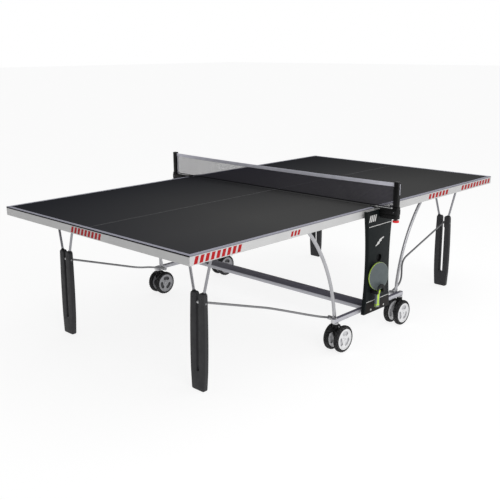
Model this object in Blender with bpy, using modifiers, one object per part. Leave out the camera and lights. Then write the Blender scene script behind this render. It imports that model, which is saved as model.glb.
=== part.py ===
"""Folding ping pong table on a wheeled chassis.

World frame: +Z up, X along the playing length, Y across it, and the origin on the
floor under the middle of the net. "left" is the half at -X and "right" the one at +X.
"near" is the long side at -Y and "far" the one at +Y.
"""
import math

import bmesh
import bpy
from mathutils import Matrix, Vector

# ---------------------------------------------------------------- driving dimensions
TABLE_LENGTH = 2.74
TABLE_WIDTH = 1.525
TABLE_HEIGHT = 0.76
BOARD_THICKNESS = 0.005
HALF_GAP = 0.0025            # from the middle plane to the inner edge of each board
TOUCH_GAP = 0.0003           # air left between pieces that touch

APRON_DEPTH = 0.0425         # height of the steel frame under the board
APRON_WIDTH = 0.022
APRON_INSET = 0.0015         # board overhang past the frame
FRAME_WALL = 0.002
LEG_BAR_X = 1.155            # middle of the cross bar that carries the leg hinges
MIDDLE_BAR_X = 0.280

FOLD_X = 0.086               # fold pin, measured from the middle plane
FOLD_Z = 0.745
FOLD_PIN_RADIUS = 0.0065

CHASSIS_X = 0.300            # shared pivot of the curved arms and the leg rods
CHASSIS_Z = 0.179
ARM_X = 0.555                # pivot of the curved arm on the half
ARM_Z = 0.728
ARM_Y = 0.7275
ARM_RADIUS = 0.0095
ARM_EYE_RADIUS = 0.0135
ARM_FOOT_LENGTH = 0.045      # flattened stretch of the arm above its chassis pivot
ARM_FOOT_THICKNESS = 0.008
ARM_FOOT_OUTER_Y = 0.7325
ARM_BULGE = 0.054            # how far the arm bows towards the middle of the table

LEG_HINGE_X = 1.125
PAD_FOOT_X = 1.144           # middle of each pad where it stands on the floor
PAD_LEAN = 0.018             # how much each pad leans in towards the hinge, per metre of height
LEG_Y = 0.557
LEG_HINGE_Z = 0.730
LEG_TUBE_RADIUS = 0.007
LEG_SPREAD = 0.094           # half distance between the tops of the two leg tubes
ROD_PIN_Z = 0.448            # pin that joins the rod to the leg, inside the pad's slot
ROD_RADIUS = 0.006
ROD_FOOT_Y = 0.695

PAD_TOP = 0.497
PAD_THICKNESS = 0.026
PAD_SLOT_WIDTH = 0.018
PAD_SLOT_FLOOR = 0.100

RAIL_Y = 0.745
RAIL_WIDTH = 0.024
RAIL_BOTTOM = 0.167
RAIL_TOP = 0.191
RAIL_HALF_LENGTH = 0.340
TUBE_WALL = 0.002
BEAM_HALF_WIDTH = 0.050
BEAM_BOTTOM = 0.167
BEAM_TOP = 0.190

PANEL_INNER_Y = 0.778
PANEL_OUTER_Y = 0.800
PANEL_WALL = 0.003
PANEL_BOTTOM = 0.168
PANEL_TOP = 0.755
PANEL_END_HALF_WIDTH = 0.127
PANEL_WAIST_HALF_WIDTH = 0.104
BALL_HOLE_Z = 0.478
BALL_HOLE_RADIUS = 0.0215

TRACK_HALF_WIDTH = 0.012
TRACK_INNER_Y = 0.7795
TRACK_OUTER_Y = 0.7945
TRACK_BACK_WALL = 0.002
TRACK_TOP = 0.752

POST_Y = 0.897
NET_HEIGHT = 0.1475
NET_CLEARANCE = 0.008
TAPE_HEIGHT = 0.020
POST_HALF_DEPTH = 0.0145     # half of the post's size along Y
COLLAR_HALF_DEPTH = 0.0165
COLLAR_RISE = 0.0165         # from the playing surface up to the foot of the post
BRACKET_BOTTOM = 0.711
BRACKET_OUTER_Y = 0.915

WHEEL_RADIUS = 0.075
WHEEL_WIDTH = 0.030
WHEEL_OFFSET_Y = 0.034       # from the caster's middle to each wheel's middle
CASTER_X = 0.315
CASTER_Y = 0.748
CASTER_TRAIL = 0.025
AXLE_RADIUS = 0.006
CASTER_TOP = 0.1667

BAT_X = -0.036
BAT_Y = 0.826                # distance of the blade's middle from the middle plane
BAT_Z = 0.384
BLADE_HALF_WIDTH = 0.070
BLADE_HALF_HEIGHT = 0.0795
HANDLE_END = 0.178           # below the middle of the blade
BAT_YAW = math.radians(14.0)
BAT_LEAN = math.radians(1.5)
BAT_LOOP_X = -0.040          # loop on the panel that holds the neck of the bat
BAT_LOOP_Z = 0.303

SIDES = {"left": -1, "right": 1}
ROWS = {"near": -1, "far": 1}


# ---------------------------------------------------------------- scene and materials
def clear_scene():
    for obj in list(bpy.data.objects):
        bpy.data.objects.remove(obj, do_unlink=True)


def make_collection(name):
    collection = bpy.data.collections.new(name)
    bpy.context.scene.collection.children.link(collection)
    return collection


def make_material(name, colour, roughness, metallic=0.0):
    material = bpy.data.materials.new(name)
    material.use_nodes = True
    shader = material.node_tree.nodes["Principled BSDF"]
    shader.inputs["Base Color"].default_value = (*colour, 1.0)
    shader.inputs["Roughness"].default_value = roughness
    shader.inputs["Metallic"].default_value = metallic
    material.diffuse_color = (*colour, 1.0)
    return material


clear_scene()
TABLE = make_collection("ping_pong_table")
CUTTERS = make_collection("cutters")

MATERIALS = {
    "board": make_material("grey_laminate", (0.045, 0.046, 0.048), 0.45),
    "frame": make_material("pale_grey_paint", (0.62, 0.62, 0.61), 0.40, 0.2),
    "steel": make_material("zinc_plated_steel", (0.55, 0.56, 0.58), 0.30, 0.9),
    "chassis": make_material("silver_paint", (0.45, 0.45, 0.48), 0.40, 0.5),
    "pad": make_material("dark_grey_plastic", (0.045, 0.045, 0.05), 0.55),
    "panel": make_material("black_green_plastic", (0.012, 0.016, 0.016), 0.40),
    "black": make_material("black_plastic", (0.010, 0.010, 0.010), 0.45),
    "red": make_material("red_plastic", (0.75, 0.015, 0.02), 0.40),
    "wheel": make_material("black_tyre", (0.02, 0.02, 0.02), 0.65),
    "net": make_material("grey_net", (0.30, 0.30, 0.32), 0.85),
    "tape": make_material("pale_tape", (0.60, 0.60, 0.68), 0.80),
    "bat": make_material("grey_rubber", (0.11, 0.13, 0.14), 0.60),
    "grip": make_material("lime_grip", (0.60, 0.80, 0.07), 0.55),
}


# ---------------------------------------------------------------- building blocks
def add_object(name, mesh, material=None):
    """Links a mesh as a named part of the table, or as a cutter when it has no material."""
    obj = bpy.data.objects.new(name, mesh)
    if material is None:
        CUTTERS.objects.link(obj)
        obj.hide_render = True
        obj.display_type = "WIRE"
    else:
        TABLE.objects.link(obj)
        obj.data.materials.append(MATERIALS[material])
    return obj


def mesh_from(bm, name):
    mesh = bpy.data.meshes.new(name)
    bm.to_mesh(mesh)
    bm.free()
    return mesh


def box(name, low, high, material=None):
    """An upright box between two corners, given in any order."""
    low, high = Vector(map(min, low, high)), Vector(map(max, low, high))
    bm = bmesh.new()
    bmesh.ops.create_cube(bm, size=1.0)
    size = high - low
    placing = Matrix.Translation((low + high) / 2) @ Matrix.Diagonal((*size, 1.0))
    bmesh.ops.transform(bm, matrix=placing, verts=bm.verts)
    return add_object(name, mesh_from(bm, name), material)


def cylinder(name, start, end, radius, material=None, sides=20):
    """A round bar from start to end."""
    start, end = Vector(start), Vector(end)
    bm = bmesh.new()
    bmesh.ops.create_cone(bm, cap_ends=True, segments=sides, radius1=radius,
                          radius2=radius, depth=(end - start).length)
    turn = (end - start).to_track_quat("Z", "Y").to_matrix().to_4x4()
    bmesh.ops.transform(bm, matrix=Matrix.Translation((start + end) / 2) @ turn, verts=bm.verts)
    obj = add_object(name, mesh_from(bm, name), material)
    smooth(obj)
    return obj


def smooth(obj, angle=35.0):
    obj.data.shade_smooth()
    obj.data.set_sharp_from_angle(angle=math.radians(angle))


def mesh_of_curve(curve_object, name, material):
    """Turns a curve into a closed mesh with its end caps welded on."""
    view = bpy.context.evaluated_depsgraph_get()
    mesh = bpy.data.meshes.new_from_object(curve_object.evaluated_get(view))
    mesh.materials.clear()
    mesh.transform(curve_object.matrix_world)
    bm = bmesh.new()
    bm.from_mesh(mesh)
    bmesh.ops.remove_doubles(bm, verts=bm.verts, dist=0.00001)
    bm.to_mesh(mesh)
    bm.free()
    obj = add_object(name, mesh, material)
    bpy.data.objects.remove(curve_object, do_unlink=True)
    smooth(obj)
    return obj


def tube(name, points, radius, material=None, resolution=2):
    """A round bar that follows a list of points."""
    curve = bpy.data.curves.new(name, "CURVE")
    curve.dimensions = "3D"
    curve.bevel_depth = radius
    curve.bevel_resolution = resolution
    curve.use_fill_caps = True
    spline = curve.splines.new("POLY")
    spline.points.add(len(points) - 1)
    for knot, point in zip(spline.points, points):
        knot.co = (*point, 1.0)
    holder = bpy.data.objects.new(name + "_curve", curve)
    TABLE.objects.link(holder)
    bpy.context.view_layer.update()
    return mesh_of_curve(holder, name, material)


def slab(name, outline, facing, depths, material=None):
    """A flat plate cut to an outline.

    facing "y" reads the outline as (x, z) pairs and depths as two y values;
    facing "x" reads it as (y, z) pairs and depths as two x values.
    """
    curve = bpy.data.curves.new(name, "CURVE")
    curve.dimensions = "2D"
    curve.fill_mode = "BOTH"
    curve.extrude = abs(depths[1] - depths[0]) / 2
    spline = curve.splines.new("POLY")
    spline.points.add(len(outline) - 1)
    for knot, (across, up) in zip(spline.points, outline):
        knot.co = (across, up, 0.0, 1.0)
    spline.use_cyclic_u = True
    holder = bpy.data.objects.new(name + "_curve", curve)
    TABLE.objects.link(holder)
    middle = (depths[0] + depths[1]) / 2
    upright = Matrix.Rotation(math.pi / 2, 4, "X")
    if facing == "y":
        holder.matrix_world = Matrix.Translation((0, middle, 0)) @ upright
    else:
        holder.matrix_world = (Matrix.Translation((middle, 0, 0))
                               @ Matrix.Rotation(math.pi / 2, 4, "Z") @ upright)
    bpy.context.view_layer.update()
    return mesh_of_curve(holder, name, material)


def lathe(name, profile, material, steps=28):
    """Turns a closed (radius, depth) profile about the Y axis.

    The profile starts at its deepest outer point and runs down its outer side.
    """
    bm = bmesh.new()
    corners = [bm.verts.new((radius, 0.0, height)) for radius, height in profile]
    for here, there in zip(corners, corners[1:] + corners[:1]):
        bm.edges.new((here, there))
    mesh = mesh_from(bm, name)
    obj = add_object(name, mesh, material)
    turn = obj.modifiers.new("turn", "SCREW")
    turn.steps = steps
    turn.render_steps = steps
    turn.use_merge_vertices = True
    turn.merge_threshold = 0.00001
    obj.rotation_euler = (math.pi / 2, 0.0, 0.0)
    return obj


def combine(target, pieces, operation):
    for piece in pieces:
        step = target.modifiers.new(operation.lower(), "BOOLEAN")
        step.operation = operation
        step.solver = "EXACT"
        step.object = piece
    return target


def unite(target, *pieces):
    return combine(target, pieces, "UNION")


def cut(target, *pieces):
    return combine(target, pieces, "DIFFERENCE")


def soften(obj, width, segments=1):
    bevel = obj.modifiers.new("soft_edges", "BEVEL")
    bevel.width = width
    bevel.segments = segments
    bevel.limit_method = "ANGLE"
    bevel.angle_limit = math.radians(50.0)
    return obj


def pivot_at(obj, point):
    """Moves an object's origin to its joint axis without moving the shape."""
    shift = Vector(point) - obj.location
    obj.data.transform(Matrix.Translation(-shift))
    obj.location = point
    return obj


def hull_outline(centre_a, radius_a, centre_b, radius_b, steps=8):
    """Outline of a belt round two circles: the usual shape of a link or lever."""
    a, b = Vector(centre_a), Vector(centre_b)
    along = b - a
    heading = math.atan2(along.y, along.x)
    lean = math.acos((radius_a - radius_b) / along.length)
    outline = []
    for centre, radius, first, last in (
            (b, radius_b, heading - lean, heading + lean),
            (a, radius_a, heading + lean, heading + 2 * math.pi - lean)):
        for step in range(steps + 1):
            angle = first + (last - first) * step / steps
            outline.append((centre.x + radius * math.cos(angle),
                            centre.y + radius * math.sin(angle)))
    return outline


# ---------------------------------------------------------------- chassis
def make_cross_beam():
    """Wide flat tube that ties the two rails together under the table."""
    end = RAIL_Y - RAIL_WIDTH / 2 - TOUCH_GAP
    beam = box("cross_beam", (-BEAM_HALF_WIDTH, -end, BEAM_BOTTOM),
               (BEAM_HALF_WIDTH, end, BEAM_TOP), "chassis")
    bore = box("cross_beam_bore",
               (-BEAM_HALF_WIDTH + TUBE_WALL, -end - 0.01, BEAM_BOTTOM + TUBE_WALL),
               (BEAM_HALF_WIDTH - TUBE_WALL, end + 0.01, BEAM_TOP - TUBE_WALL))
    cut(beam, bore)


def make_rail(row, far):
    """Rail along X with two spacers, to which the side panel is screwed."""
    name = f"{row}_rail"
    inner = far * (RAIL_Y - RAIL_WIDTH / 2)
    outer = far * (RAIL_Y + RAIL_WIDTH / 2)
    rail = box(name, (-RAIL_HALF_LENGTH, inner, RAIL_BOTTOM),
               (RAIL_HALF_LENGTH, outer, RAIL_TOP), "chassis")
    soften(rail, 0.003, 2)
    spacer_width = 0.020
    spacer_top = RAIL_TOP - 0.0015
    spacer_bottom = RAIL_BOTTOM + 0.0090
    reach = PANEL_OUTER_Y - PANEL_WALL - TOUCH_GAP
    spacers = []
    for sign in SIDES.values():
        beside_track = FOLD_X - TRACK_HALF_WIDTH - TOUCH_GAP
        spacers.append(box(f"{name}_spacer",
                           (sign * beside_track, far * RAIL_Y, spacer_bottom),
                           (sign * (beside_track - spacer_width), far * reach, spacer_top)))
    unite(rail, *spacers)


def panel_outline(inset, top):
    """Waisted upright outline of the side panel up to a given height, shrunk by an inset."""
    middle = (PANEL_TOP + PANEL_BOTTOM) / 2
    reach = (PANEL_TOP - PANEL_BOTTOM) / 2
    flare = PANEL_END_HALF_WIDTH - PANEL_WAIST_HALF_WIDTH
    bottom = PANEL_BOTTOM + inset
    steps = 10
    right = []
    for step in range(steps + 1):
        up = bottom + (top - bottom) * step / steps
        half = PANEL_WAIST_HALF_WIDTH + flare * ((up - middle) / reach) ** 2 - inset
        right.append((half, up))
    return right + [(-half, up) for half, up in reversed(right)]


def make_side_panel(row, far):
    """Cover over the guide tracks, open at its back and top, with a ball cup and a bat loop."""
    name = f"{row}_side_panel"
    panel = slab(name, panel_outline(0.0, PANEL_TOP), "y",
                 (far * PANEL_INNER_Y, far * PANEL_OUTER_Y), "panel")
    recess = slab(f"{name}_recess", panel_outline(PANEL_WALL, PANEL_TOP + 0.01), "y",
                  (far * (PANEL_INNER_Y - 0.01), far * (PANEL_OUTER_Y - PANEL_WALL)))
    cup_back = far * (PANEL_INNER_Y + 0.0005)
    cup_wall = 0.0025
    cup = cylinder(f"{name}_ball_cup", (0.0, cup_back, BALL_HOLE_Z),
                   (0.0, far * (PANEL_OUTER_Y - 0.001), BALL_HOLE_Z), BALL_HOLE_RADIUS + cup_wall,
                   sides=28)
    ball_hole = cylinder(f"{name}_ball_hole", (0.0, cup_back + far * cup_wall, BALL_HOLE_Z),
                         (0.0, far * (PANEL_OUTER_Y + 0.01), BALL_HOLE_Z), BALL_HOLE_RADIUS,
                         sides=28)
    cut(panel, recess)
    unite(panel, cup)
    cut(panel, ball_hole)
    unite(panel, *bat_loop(name, far))


def bat_loop(name, far):
    """Arch in front of the bat's neck, on two lugs that its blade rests on."""
    middle = -far * BAT_LOOP_X
    outer_radius = 0.040
    inner_radius = 0.022
    front = far * (BAT_Y + 0.0240)
    back = front - far * 0.0040
    foot = BAT_LOOP_Z - 0.0130
    steps = 12
    arc = [math.pi * step / steps for step in range(steps + 1)]
    outline = ([(middle + outer_radius, foot)]
               + [(middle + outer_radius * math.cos(angle),
                   BAT_LOOP_Z + outer_radius * math.sin(angle)) for angle in arc]
               + [(middle - outer_radius, foot), (middle - inner_radius, foot)]
               + [(middle - inner_radius * math.cos(angle),
                   BAT_LOOP_Z + inner_radius * math.sin(angle)) for angle in arc]
               + [(middle + inner_radius, foot)])
    arch = slab(f"{name}_bat_arch", outline, "y", (back, front))
    lugs = []
    for edge in (-1, 1):
        lugs.append(box(f"{name}_bat_lug",
                        (middle + edge * (inner_radius + 0.004), back + far * 0.001, foot + 0.001),
                        (middle + edge * (outer_radius - 0.003), far * (PANEL_OUTER_Y - 0.001),
                         BAT_LOOP_Z + 0.0050)))
    return arch, *lugs


def make_guide_track(side, sign, row, far):
    """Upright channel in which the fold pin of one half slides."""
    name = f"{row}_{side}_guide_track"
    x = sign * FOLD_X
    foot = RAIL_BOTTOM + 0.0090
    groove_half_width = FOLD_PIN_RADIUS + 0.0010
    groove_bottom = 0.270
    track = box(name, (x - TRACK_HALF_WIDTH, far * TRACK_INNER_Y, foot),
                (x + TRACK_HALF_WIDTH, far * TRACK_OUTER_Y, TRACK_TOP), "steel")
    groove = box(f"{name}_groove",
                 (x - groove_half_width, far * (TRACK_INNER_Y - 0.01), groove_bottom),
                 (x + groove_half_width, far * (TRACK_OUTER_Y - TRACK_BACK_WALL), TRACK_TOP + 0.01))
    cut(track, groove)


def make_fold_pin(side, sign, row, far):
    """Shouldered pin on the side of a half: it slides in the track and the half turns on it."""
    name = f"{row}_{side}_fold_pin"
    apron_face = TABLE_WIDTH / 2 - APRON_INSET
    x = sign * FOLD_X
    end = TRACK_OUTER_Y - TRACK_BACK_WALL - 0.0005
    stem_radius = 0.0045
    stem = cylinder(name, (x, far * (apron_face + TOUCH_GAP), FOLD_Z),
                    (x, far * end, FOLD_Z), stem_radius, "steel", 16)
    roller = cylinder(f"{name}_roller", (x, far * (TRACK_INNER_Y + 0.0010), FOLD_Z),
                      (x, far * (end - 0.0005), FOLD_Z), FOLD_PIN_RADIUS, sides=16)
    unite(stem, roller)
    pivot_at(stem, (x, 0.0, FOLD_Z))


# ---------------------------------------------------------------- folding halves
def make_board(side, sign):
    """Thin playing board of one half, with rounded corners."""
    name = f"{side}_board"
    corner_radius = 0.006
    top = TABLE_HEIGHT
    board = box(name, (sign * HALF_GAP, -TABLE_WIDTH / 2, top - BOARD_THICKNESS),
                (sign * TABLE_LENGTH / 2, TABLE_WIDTH / 2, top), "board")
    bm = bmesh.new()
    bm.from_mesh(board.data)
    upright = [edge for edge in bm.edges
               if abs(edge.verts[0].co.z - edge.verts[1].co.z) > BOARD_THICKNESS / 2]
    bmesh.ops.bevel(bm, geom=upright, offset=corner_radius, segments=3, profile=0.5,
                    affect="EDGES")
    bm.to_mesh(board.data)
    bm.free()
    pivot_at(board, (sign * FOLD_X, 0.0, FOLD_Z))


def frame_members():
    """Each straight member of a half's frame, as (x from, x to, y from, y to) at +X."""
    inner = HALF_GAP + APRON_INSET
    outer = TABLE_LENGTH / 2 - APRON_INSET
    side = TABLE_WIDTH / 2 - APRON_INSET
    members = [(inner, outer, -side, -side + APRON_WIDTH),
               (inner, outer, side - APRON_WIDTH, side),
               (inner, inner + APRON_WIDTH, -side, side),
               (outer - APRON_WIDTH, outer, -side, side)]
    for middle in (LEG_BAR_X, MIDDLE_BAR_X):
        members.append((middle - APRON_WIDTH / 2, middle + APRON_WIDTH / 2, -side, side))
    return members


def make_frame(side, sign):
    """Steel apron ring with two cross bars, hollow towards the board, and its hinge ears."""
    name = f"{side}_frame"
    top = TABLE_HEIGHT - BOARD_THICKNESS - TOUCH_GAP
    bottom = top - APRON_DEPTH
    members = frame_members()
    outline_x = (members[0][0], members[0][1])
    side_y = members[1][3]
    frame = box(name, (sign * outline_x[0], -side_y, bottom),
                (sign * outline_x[1], side_y, top), "frame")
    windows = []
    bar_faces = sorted([members[2][1], members[3][0]]
                       + [face for bar in members[4:] for face in bar[:2]])
    for number in range(0, len(bar_faces), 2):
        windows.append(box(f"{name}_window",
                           (sign * bar_faces[number], -side_y + APRON_WIDTH, bottom - 0.01),
                           (sign * bar_faces[number + 1], side_y - APRON_WIDTH, top + 0.01)))
    cut(frame, *windows)
    hollows = []
    for x_from, x_to, y_from, y_to in members:
        hollows.append(box(f"{name}_hollow",
                           (sign * (x_from + FRAME_WALL), y_from + FRAME_WALL, bottom + FRAME_WALL),
                           (sign * (x_to - FRAME_WALL), y_to - FRAME_WALL, top + 0.01)))
    cut(frame, *hollows)
    unite(frame, *hinge_ears(name, sign, bottom), *arm_stubs(name, sign))
    pivot_at(frame, (sign * FOLD_X, 0.0, FOLD_Z))


def hinge_ears(name, sign, bottom):
    """Pairs of plates beside each leg's hinge tube, standing out from the leg bar."""
    reach = hinge_tube_half_length() + TOUCH_GAP
    thickness = 0.004
    nose = LEG_HINGE_X - 0.012
    root = LEG_BAR_X - APRON_WIDTH / 2 + 0.001
    ears = []
    for far in ROWS.values():
        for edge in (-1, 1):
            inner = far * LEG_Y + edge * reach
            ears.append(box(f"{name}_ear", (sign * nose, inner, bottom + 0.001),
                            (sign * root, inner + edge * thickness, LEG_HINGE_Z + 0.014)))
    return ears


def arm_stubs(name, sign):
    """Short pins inside the long aprons, on which the curved arms turn."""
    inner_face = TABLE_WIDTH / 2 - APRON_INSET - APRON_WIDTH
    tip = ARM_Y + ARM_RADIUS + TOUCH_GAP
    stub_radius = 0.006
    stubs = []
    for far in ROWS.values():
        stubs.append(cylinder(f"{name}_arm_stub", (sign * ARM_X, far * tip, ARM_Z),
                              (sign * ARM_X, far * (inner_face + 0.001), ARM_Z), stub_radius,
                              sides=12))
    return stubs


def arm_path(sign, far):
    """Circular arc from the pivot on the half down to the chassis pivot."""
    top = Vector((ARM_X, ARM_Z))
    foot = Vector((CHASSIS_X, CHASSIS_Z))
    chord = foot - top
    normal = Vector((chord.y, -chord.x)).normalized()
    radius = (chord.length ** 2 / 4 + ARM_BULGE ** 2) / (2 * ARM_BULGE)
    half_angle = math.asin(chord.length / 2 / radius)
    centre = (top + foot) / 2 - normal * (radius - ARM_BULGE)
    steps = 12
    points = []
    for step in range(steps + 1):
        angle = -half_angle + 2 * half_angle * step / steps
        place = (centre + normal * radius * math.cos(angle)
                 + chord.normalized() * radius * math.sin(angle))
        points.append((sign * place.x, far * ARM_Y, place.y))
    return points


def make_arm(side, sign, row, far):
    """Curved stay: a tube with an eye at the half and a flattened foot beside the rail."""
    name = f"{row}_{side}_arm"
    path = arm_path(sign, far)
    top = Vector(path[0])
    tube_points = [point for point in path
                   if (Vector(point) - Vector(path[-1])).length > ARM_FOOT_LENGTH]
    arm = tube(name, tube_points, ARM_RADIUS, "steel")
    eye = cylinder(f"{name}_eye", top - Vector((0, ARM_RADIUS, 0)),
                   top + Vector((0, ARM_RADIUS, 0)), ARM_EYE_RADIUS, sides=16)
    tube_end = tube_points[-1]
    outline = hull_outline((sign * CHASSIS_X, CHASSIS_Z), ARM_EYE_RADIUS,
                           (tube_end[0], tube_end[2]), ARM_RADIUS + 0.0008)
    foot = slab(f"{name}_foot", outline, "y",
                (far * (ARM_FOOT_OUTER_Y - ARM_FOOT_THICKNESS), far * ARM_FOOT_OUTER_Y))
    unite(arm, eye, foot)
    pivot_at(arm, (sign * ARM_X, 0.0, ARM_Z))


def hinge_tube_half_length():
    return LEG_SPREAD + 0.010


def pad_x(height):
    """Distance of a pad's middle from the middle plane at a given height."""
    return PAD_FOOT_X - PAD_LEAN * height


def leg_tube_ends(sign, far, edge, overshoot=0.0):
    """Top and bottom of one slanted leg tube."""
    foot_spread = 0.0258
    socket_depth = 0.040
    top = Vector((sign * LEG_HINGE_X, far * LEG_Y + edge * LEG_SPREAD, LEG_HINGE_Z))
    foot_z = PAD_TOP - socket_depth
    foot = Vector((sign * pad_x(foot_z), far * LEG_Y + edge * foot_spread, foot_z))
    return top, foot + (foot - top).normalized() * overshoot


def make_leg_frame(side, sign, row, far):
    """V of two tubes under a hinge tube."""
    name = f"{row}_{side}_leg_frame"
    reach = hinge_tube_half_length()
    hinge_radius = 0.009
    hinge = cylinder(name, (sign * LEG_HINGE_X, far * LEG_Y - reach, LEG_HINGE_Z),
                     (sign * LEG_HINGE_X, far * LEG_Y + reach, LEG_HINGE_Z), hinge_radius, "steel")
    tubes = [cylinder(f"{name}_tube", *leg_tube_ends(sign, far, edge), LEG_TUBE_RADIUS, sides=16)
             for edge in (-1, 1)]
    unite(hinge, *tubes)
    pivot_at(hinge, (sign * LEG_HINGE_X, 0.0, LEG_HINGE_Z))


def pad_outline(far):
    """Tuning-fork outline of the leg pad: two prongs above a plain foot."""
    slot = PAD_SLOT_WIDTH / 2
    heights_and_half_widths = (
        (0.000, 0.036), (0.0025, 0.0405), (0.008, 0.0435), (0.100, 0.0500), (0.240, 0.0525),
        (0.380, 0.0510), (PAD_TOP - 0.016, 0.0480), (PAD_TOP - 0.005, 0.0455), (PAD_TOP, 0.0390))
    prong = ((slot + 0.008, PAD_TOP), (slot + 0.002, PAD_TOP - 0.004), (slot, PAD_TOP - 0.012))
    slot_end = [(slot * math.cos(angle), PAD_SLOT_FLOOR + slot - slot * math.sin(angle))
                for angle in (math.pi / 6 * step for step in range(4))]
    right = [(half, up) for up, half in heights_and_half_widths] + list(prong) + slot_end
    left = [(-across, up) for across, up in reversed(right[:-1])]
    return [(far * LEG_Y + across, up) for across, up in right + left]


def make_leg_pad(side, sign, row, far):
    """Plastic foot of a leg, slotted so that the rod can fold into it."""
    name = f"{row}_{side}_leg_pad"
    half = PAD_THICKNESS / 2
    lean = Matrix.Identity(4)
    lean[0][2] = -sign * PAD_LEAN
    pad = slab(name, pad_outline(far), "x", (sign * PAD_FOOT_X - half, sign * PAD_FOOT_X + half),
               "pad")
    flare_half_width = 0.016
    flare = box(f"{name}_flare",
                (sign * (PAD_FOOT_X - half - 0.01), far * LEG_Y - flare_half_width,
                 PAD_SLOT_FLOOR + 0.004),
                (sign * (PAD_FOOT_X - 0.002), far * LEG_Y + flare_half_width, ROD_PIN_Z - 0.030))
    for piece in (pad, flare):
        piece.data.transform(lean)
    sockets = [cylinder(f"{name}_socket", leg_tube_ends(sign, far, edge)[0],
                        leg_tube_ends(sign, far, edge, 0.001)[1],
                        LEG_TUBE_RADIUS + TOUCH_GAP, sides=16)
               for edge in (-1, 1)]
    cut(pad, flare, *sockets)
    pivot_at(pad, (sign * LEG_HINGE_X, 0.0, LEG_HINGE_Z))


def rod_path(sign, far):
    """From the leg's pin straight towards the chassis, bent outwards, then straight again."""
    start = Vector((pad_x(ROD_PIN_Z), ROD_PIN_Z))
    end = Vector((CHASSIS_X, CHASSIS_Z))
    bend_from = 0.54
    bend_to = 0.93
    steps = 12
    points = [(sign * start.x, far * LEG_Y, start.y)]
    for step in range(steps + 1):
        share = bend_from + (bend_to - bend_from) * step / steps
        place = start.lerp(end, share)
        ease = (step / steps) ** 2 * (3.0 - 2.0 * step / steps)
        points.append((sign * place.x, far * (LEG_Y + (ROD_FOOT_Y - LEG_Y) * ease), place.y))
    points.append((sign * end.x, far * ROD_FOOT_Y, end.y))
    return points


def make_leg_rod(side, sign, row, far):
    """Rod that steers a leg as its half folds."""
    name = f"{row}_{side}_leg_rod"
    rod = tube(name, rod_path(sign, far), ROD_RADIUS, "steel")
    pin_x = sign * pad_x(ROD_PIN_Z)
    bush_half_length = PAD_SLOT_WIDTH / 2 - 0.001
    bush_radius = 0.009
    eye_radius = 0.012
    bush = cylinder(f"{name}_bush", (pin_x, far * LEG_Y - bush_half_length, ROD_PIN_Z),
                    (pin_x, far * LEG_Y + bush_half_length, ROD_PIN_Z), bush_radius, sides=16)
    eye_end = ARM_FOOT_OUTER_Y - ARM_FOOT_THICKNESS - TOUCH_GAP
    eye = cylinder(f"{name}_eye", (sign * CHASSIS_X, far * (ROD_FOOT_Y - 0.008), CHASSIS_Z),
                   (sign * CHASSIS_X, far * eye_end, CHASSIS_Z), eye_radius, sides=16)
    unite(rod, bush, eye)
    pivot_at(rod, (pin_x, 0.0, ROD_PIN_Z))


def make_release_lever(side, sign):
    """Paddle under the end apron that unlocks a half before it folds."""
    name = f"{side}_release_lever"
    barrel_radius = 0.0065
    pin_x = TABLE_LENGTH / 2 - APRON_INSET - APRON_WIDTH - barrel_radius - 0.002
    pin_z = 0.7245
    paddle_length = 0.062
    paddle_half_width = 0.055
    paddle = box(name, (sign * (pin_x - paddle_length), -paddle_half_width, pin_z - 0.004),
                 (sign * pin_x, paddle_half_width, pin_z + 0.003), "black")
    soften(paddle, 0.0015)
    barrel_end = paddle_half_width + 0.010
    barrel = cylinder(f"{name}_barrel", (sign * pin_x, -barrel_end, pin_z),
                      (sign * pin_x, barrel_end, pin_z), barrel_radius, sides=16)
    unite(paddle, barrel)
    pivot_at(paddle, (sign * pin_x, 0.0, pin_z))


# ---------------------------------------------------------------- net
def make_net_bracket(row, far):
    """Clamp block that hooks over the side panel and carries the net post."""
    name = f"{row}_net_bracket"
    half_width = 0.022
    block_start = PANEL_OUTER_Y + 0.0022
    bracket = box(name, (-half_width, far * block_start, BRACKET_BOTTOM),
                  (half_width, far * BRACKET_OUTER_Y, TABLE_HEIGHT + 0.004), "black")
    tongue_half_width = 0.014
    tongue_start = 0.736
    tongue = box(f"{name}_tongue", (-tongue_half_width, far * tongue_start, TABLE_HEIGHT + 0.0008),
                 (tongue_half_width, far * (POST_Y - 0.018), TABLE_HEIGHT + 0.0070))
    collar_half_width = 0.0165
    collar = box(f"{name}_collar",
                 (-collar_half_width, far * (POST_Y - COLLAR_HALF_DEPTH), TABLE_HEIGHT),
                 (collar_half_width, far * (POST_Y + COLLAR_HALF_DEPTH),
                  TABLE_HEIGHT + COLLAR_RISE))
    unite(bracket, tongue, collar)
    soften(bracket, 0.002)


def make_net_post(row, far):
    """Upright that holds the end of the net."""
    name = f"{row}_net_post"
    half_width = 0.0130
    foot = TABLE_HEIGHT + COLLAR_RISE + TOUCH_GAP
    top = TABLE_HEIGHT + 0.1545
    post = box(name, (-half_width, far * (POST_Y - POST_HALF_DEPTH), foot),
               (half_width, far * (POST_Y + POST_HALF_DEPTH), top), "black")
    soften(post, 0.003, 2)


def make_net():
    """The net with its bottom cord, and the tape along its top."""
    bottom = TABLE_HEIGHT + NET_CLEARANCE
    top = TABLE_HEIGHT + NET_HEIGHT
    net_end = POST_Y - COLLAR_HALF_DEPTH - TOUCH_GAP
    tape_end = POST_Y - POST_HALF_DEPTH - TOUCH_GAP
    net_half_thickness = 0.0015
    tape_half_thickness = 0.003
    box("net", (-net_half_thickness, -net_end, bottom),
        (net_half_thickness, net_end, top - TAPE_HEIGHT - TOUCH_GAP), "net")
    box("net_tape", (-tape_half_thickness, -tape_end, top - TAPE_HEIGHT),
        (tape_half_thickness, tape_end, top), "tape")


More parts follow.
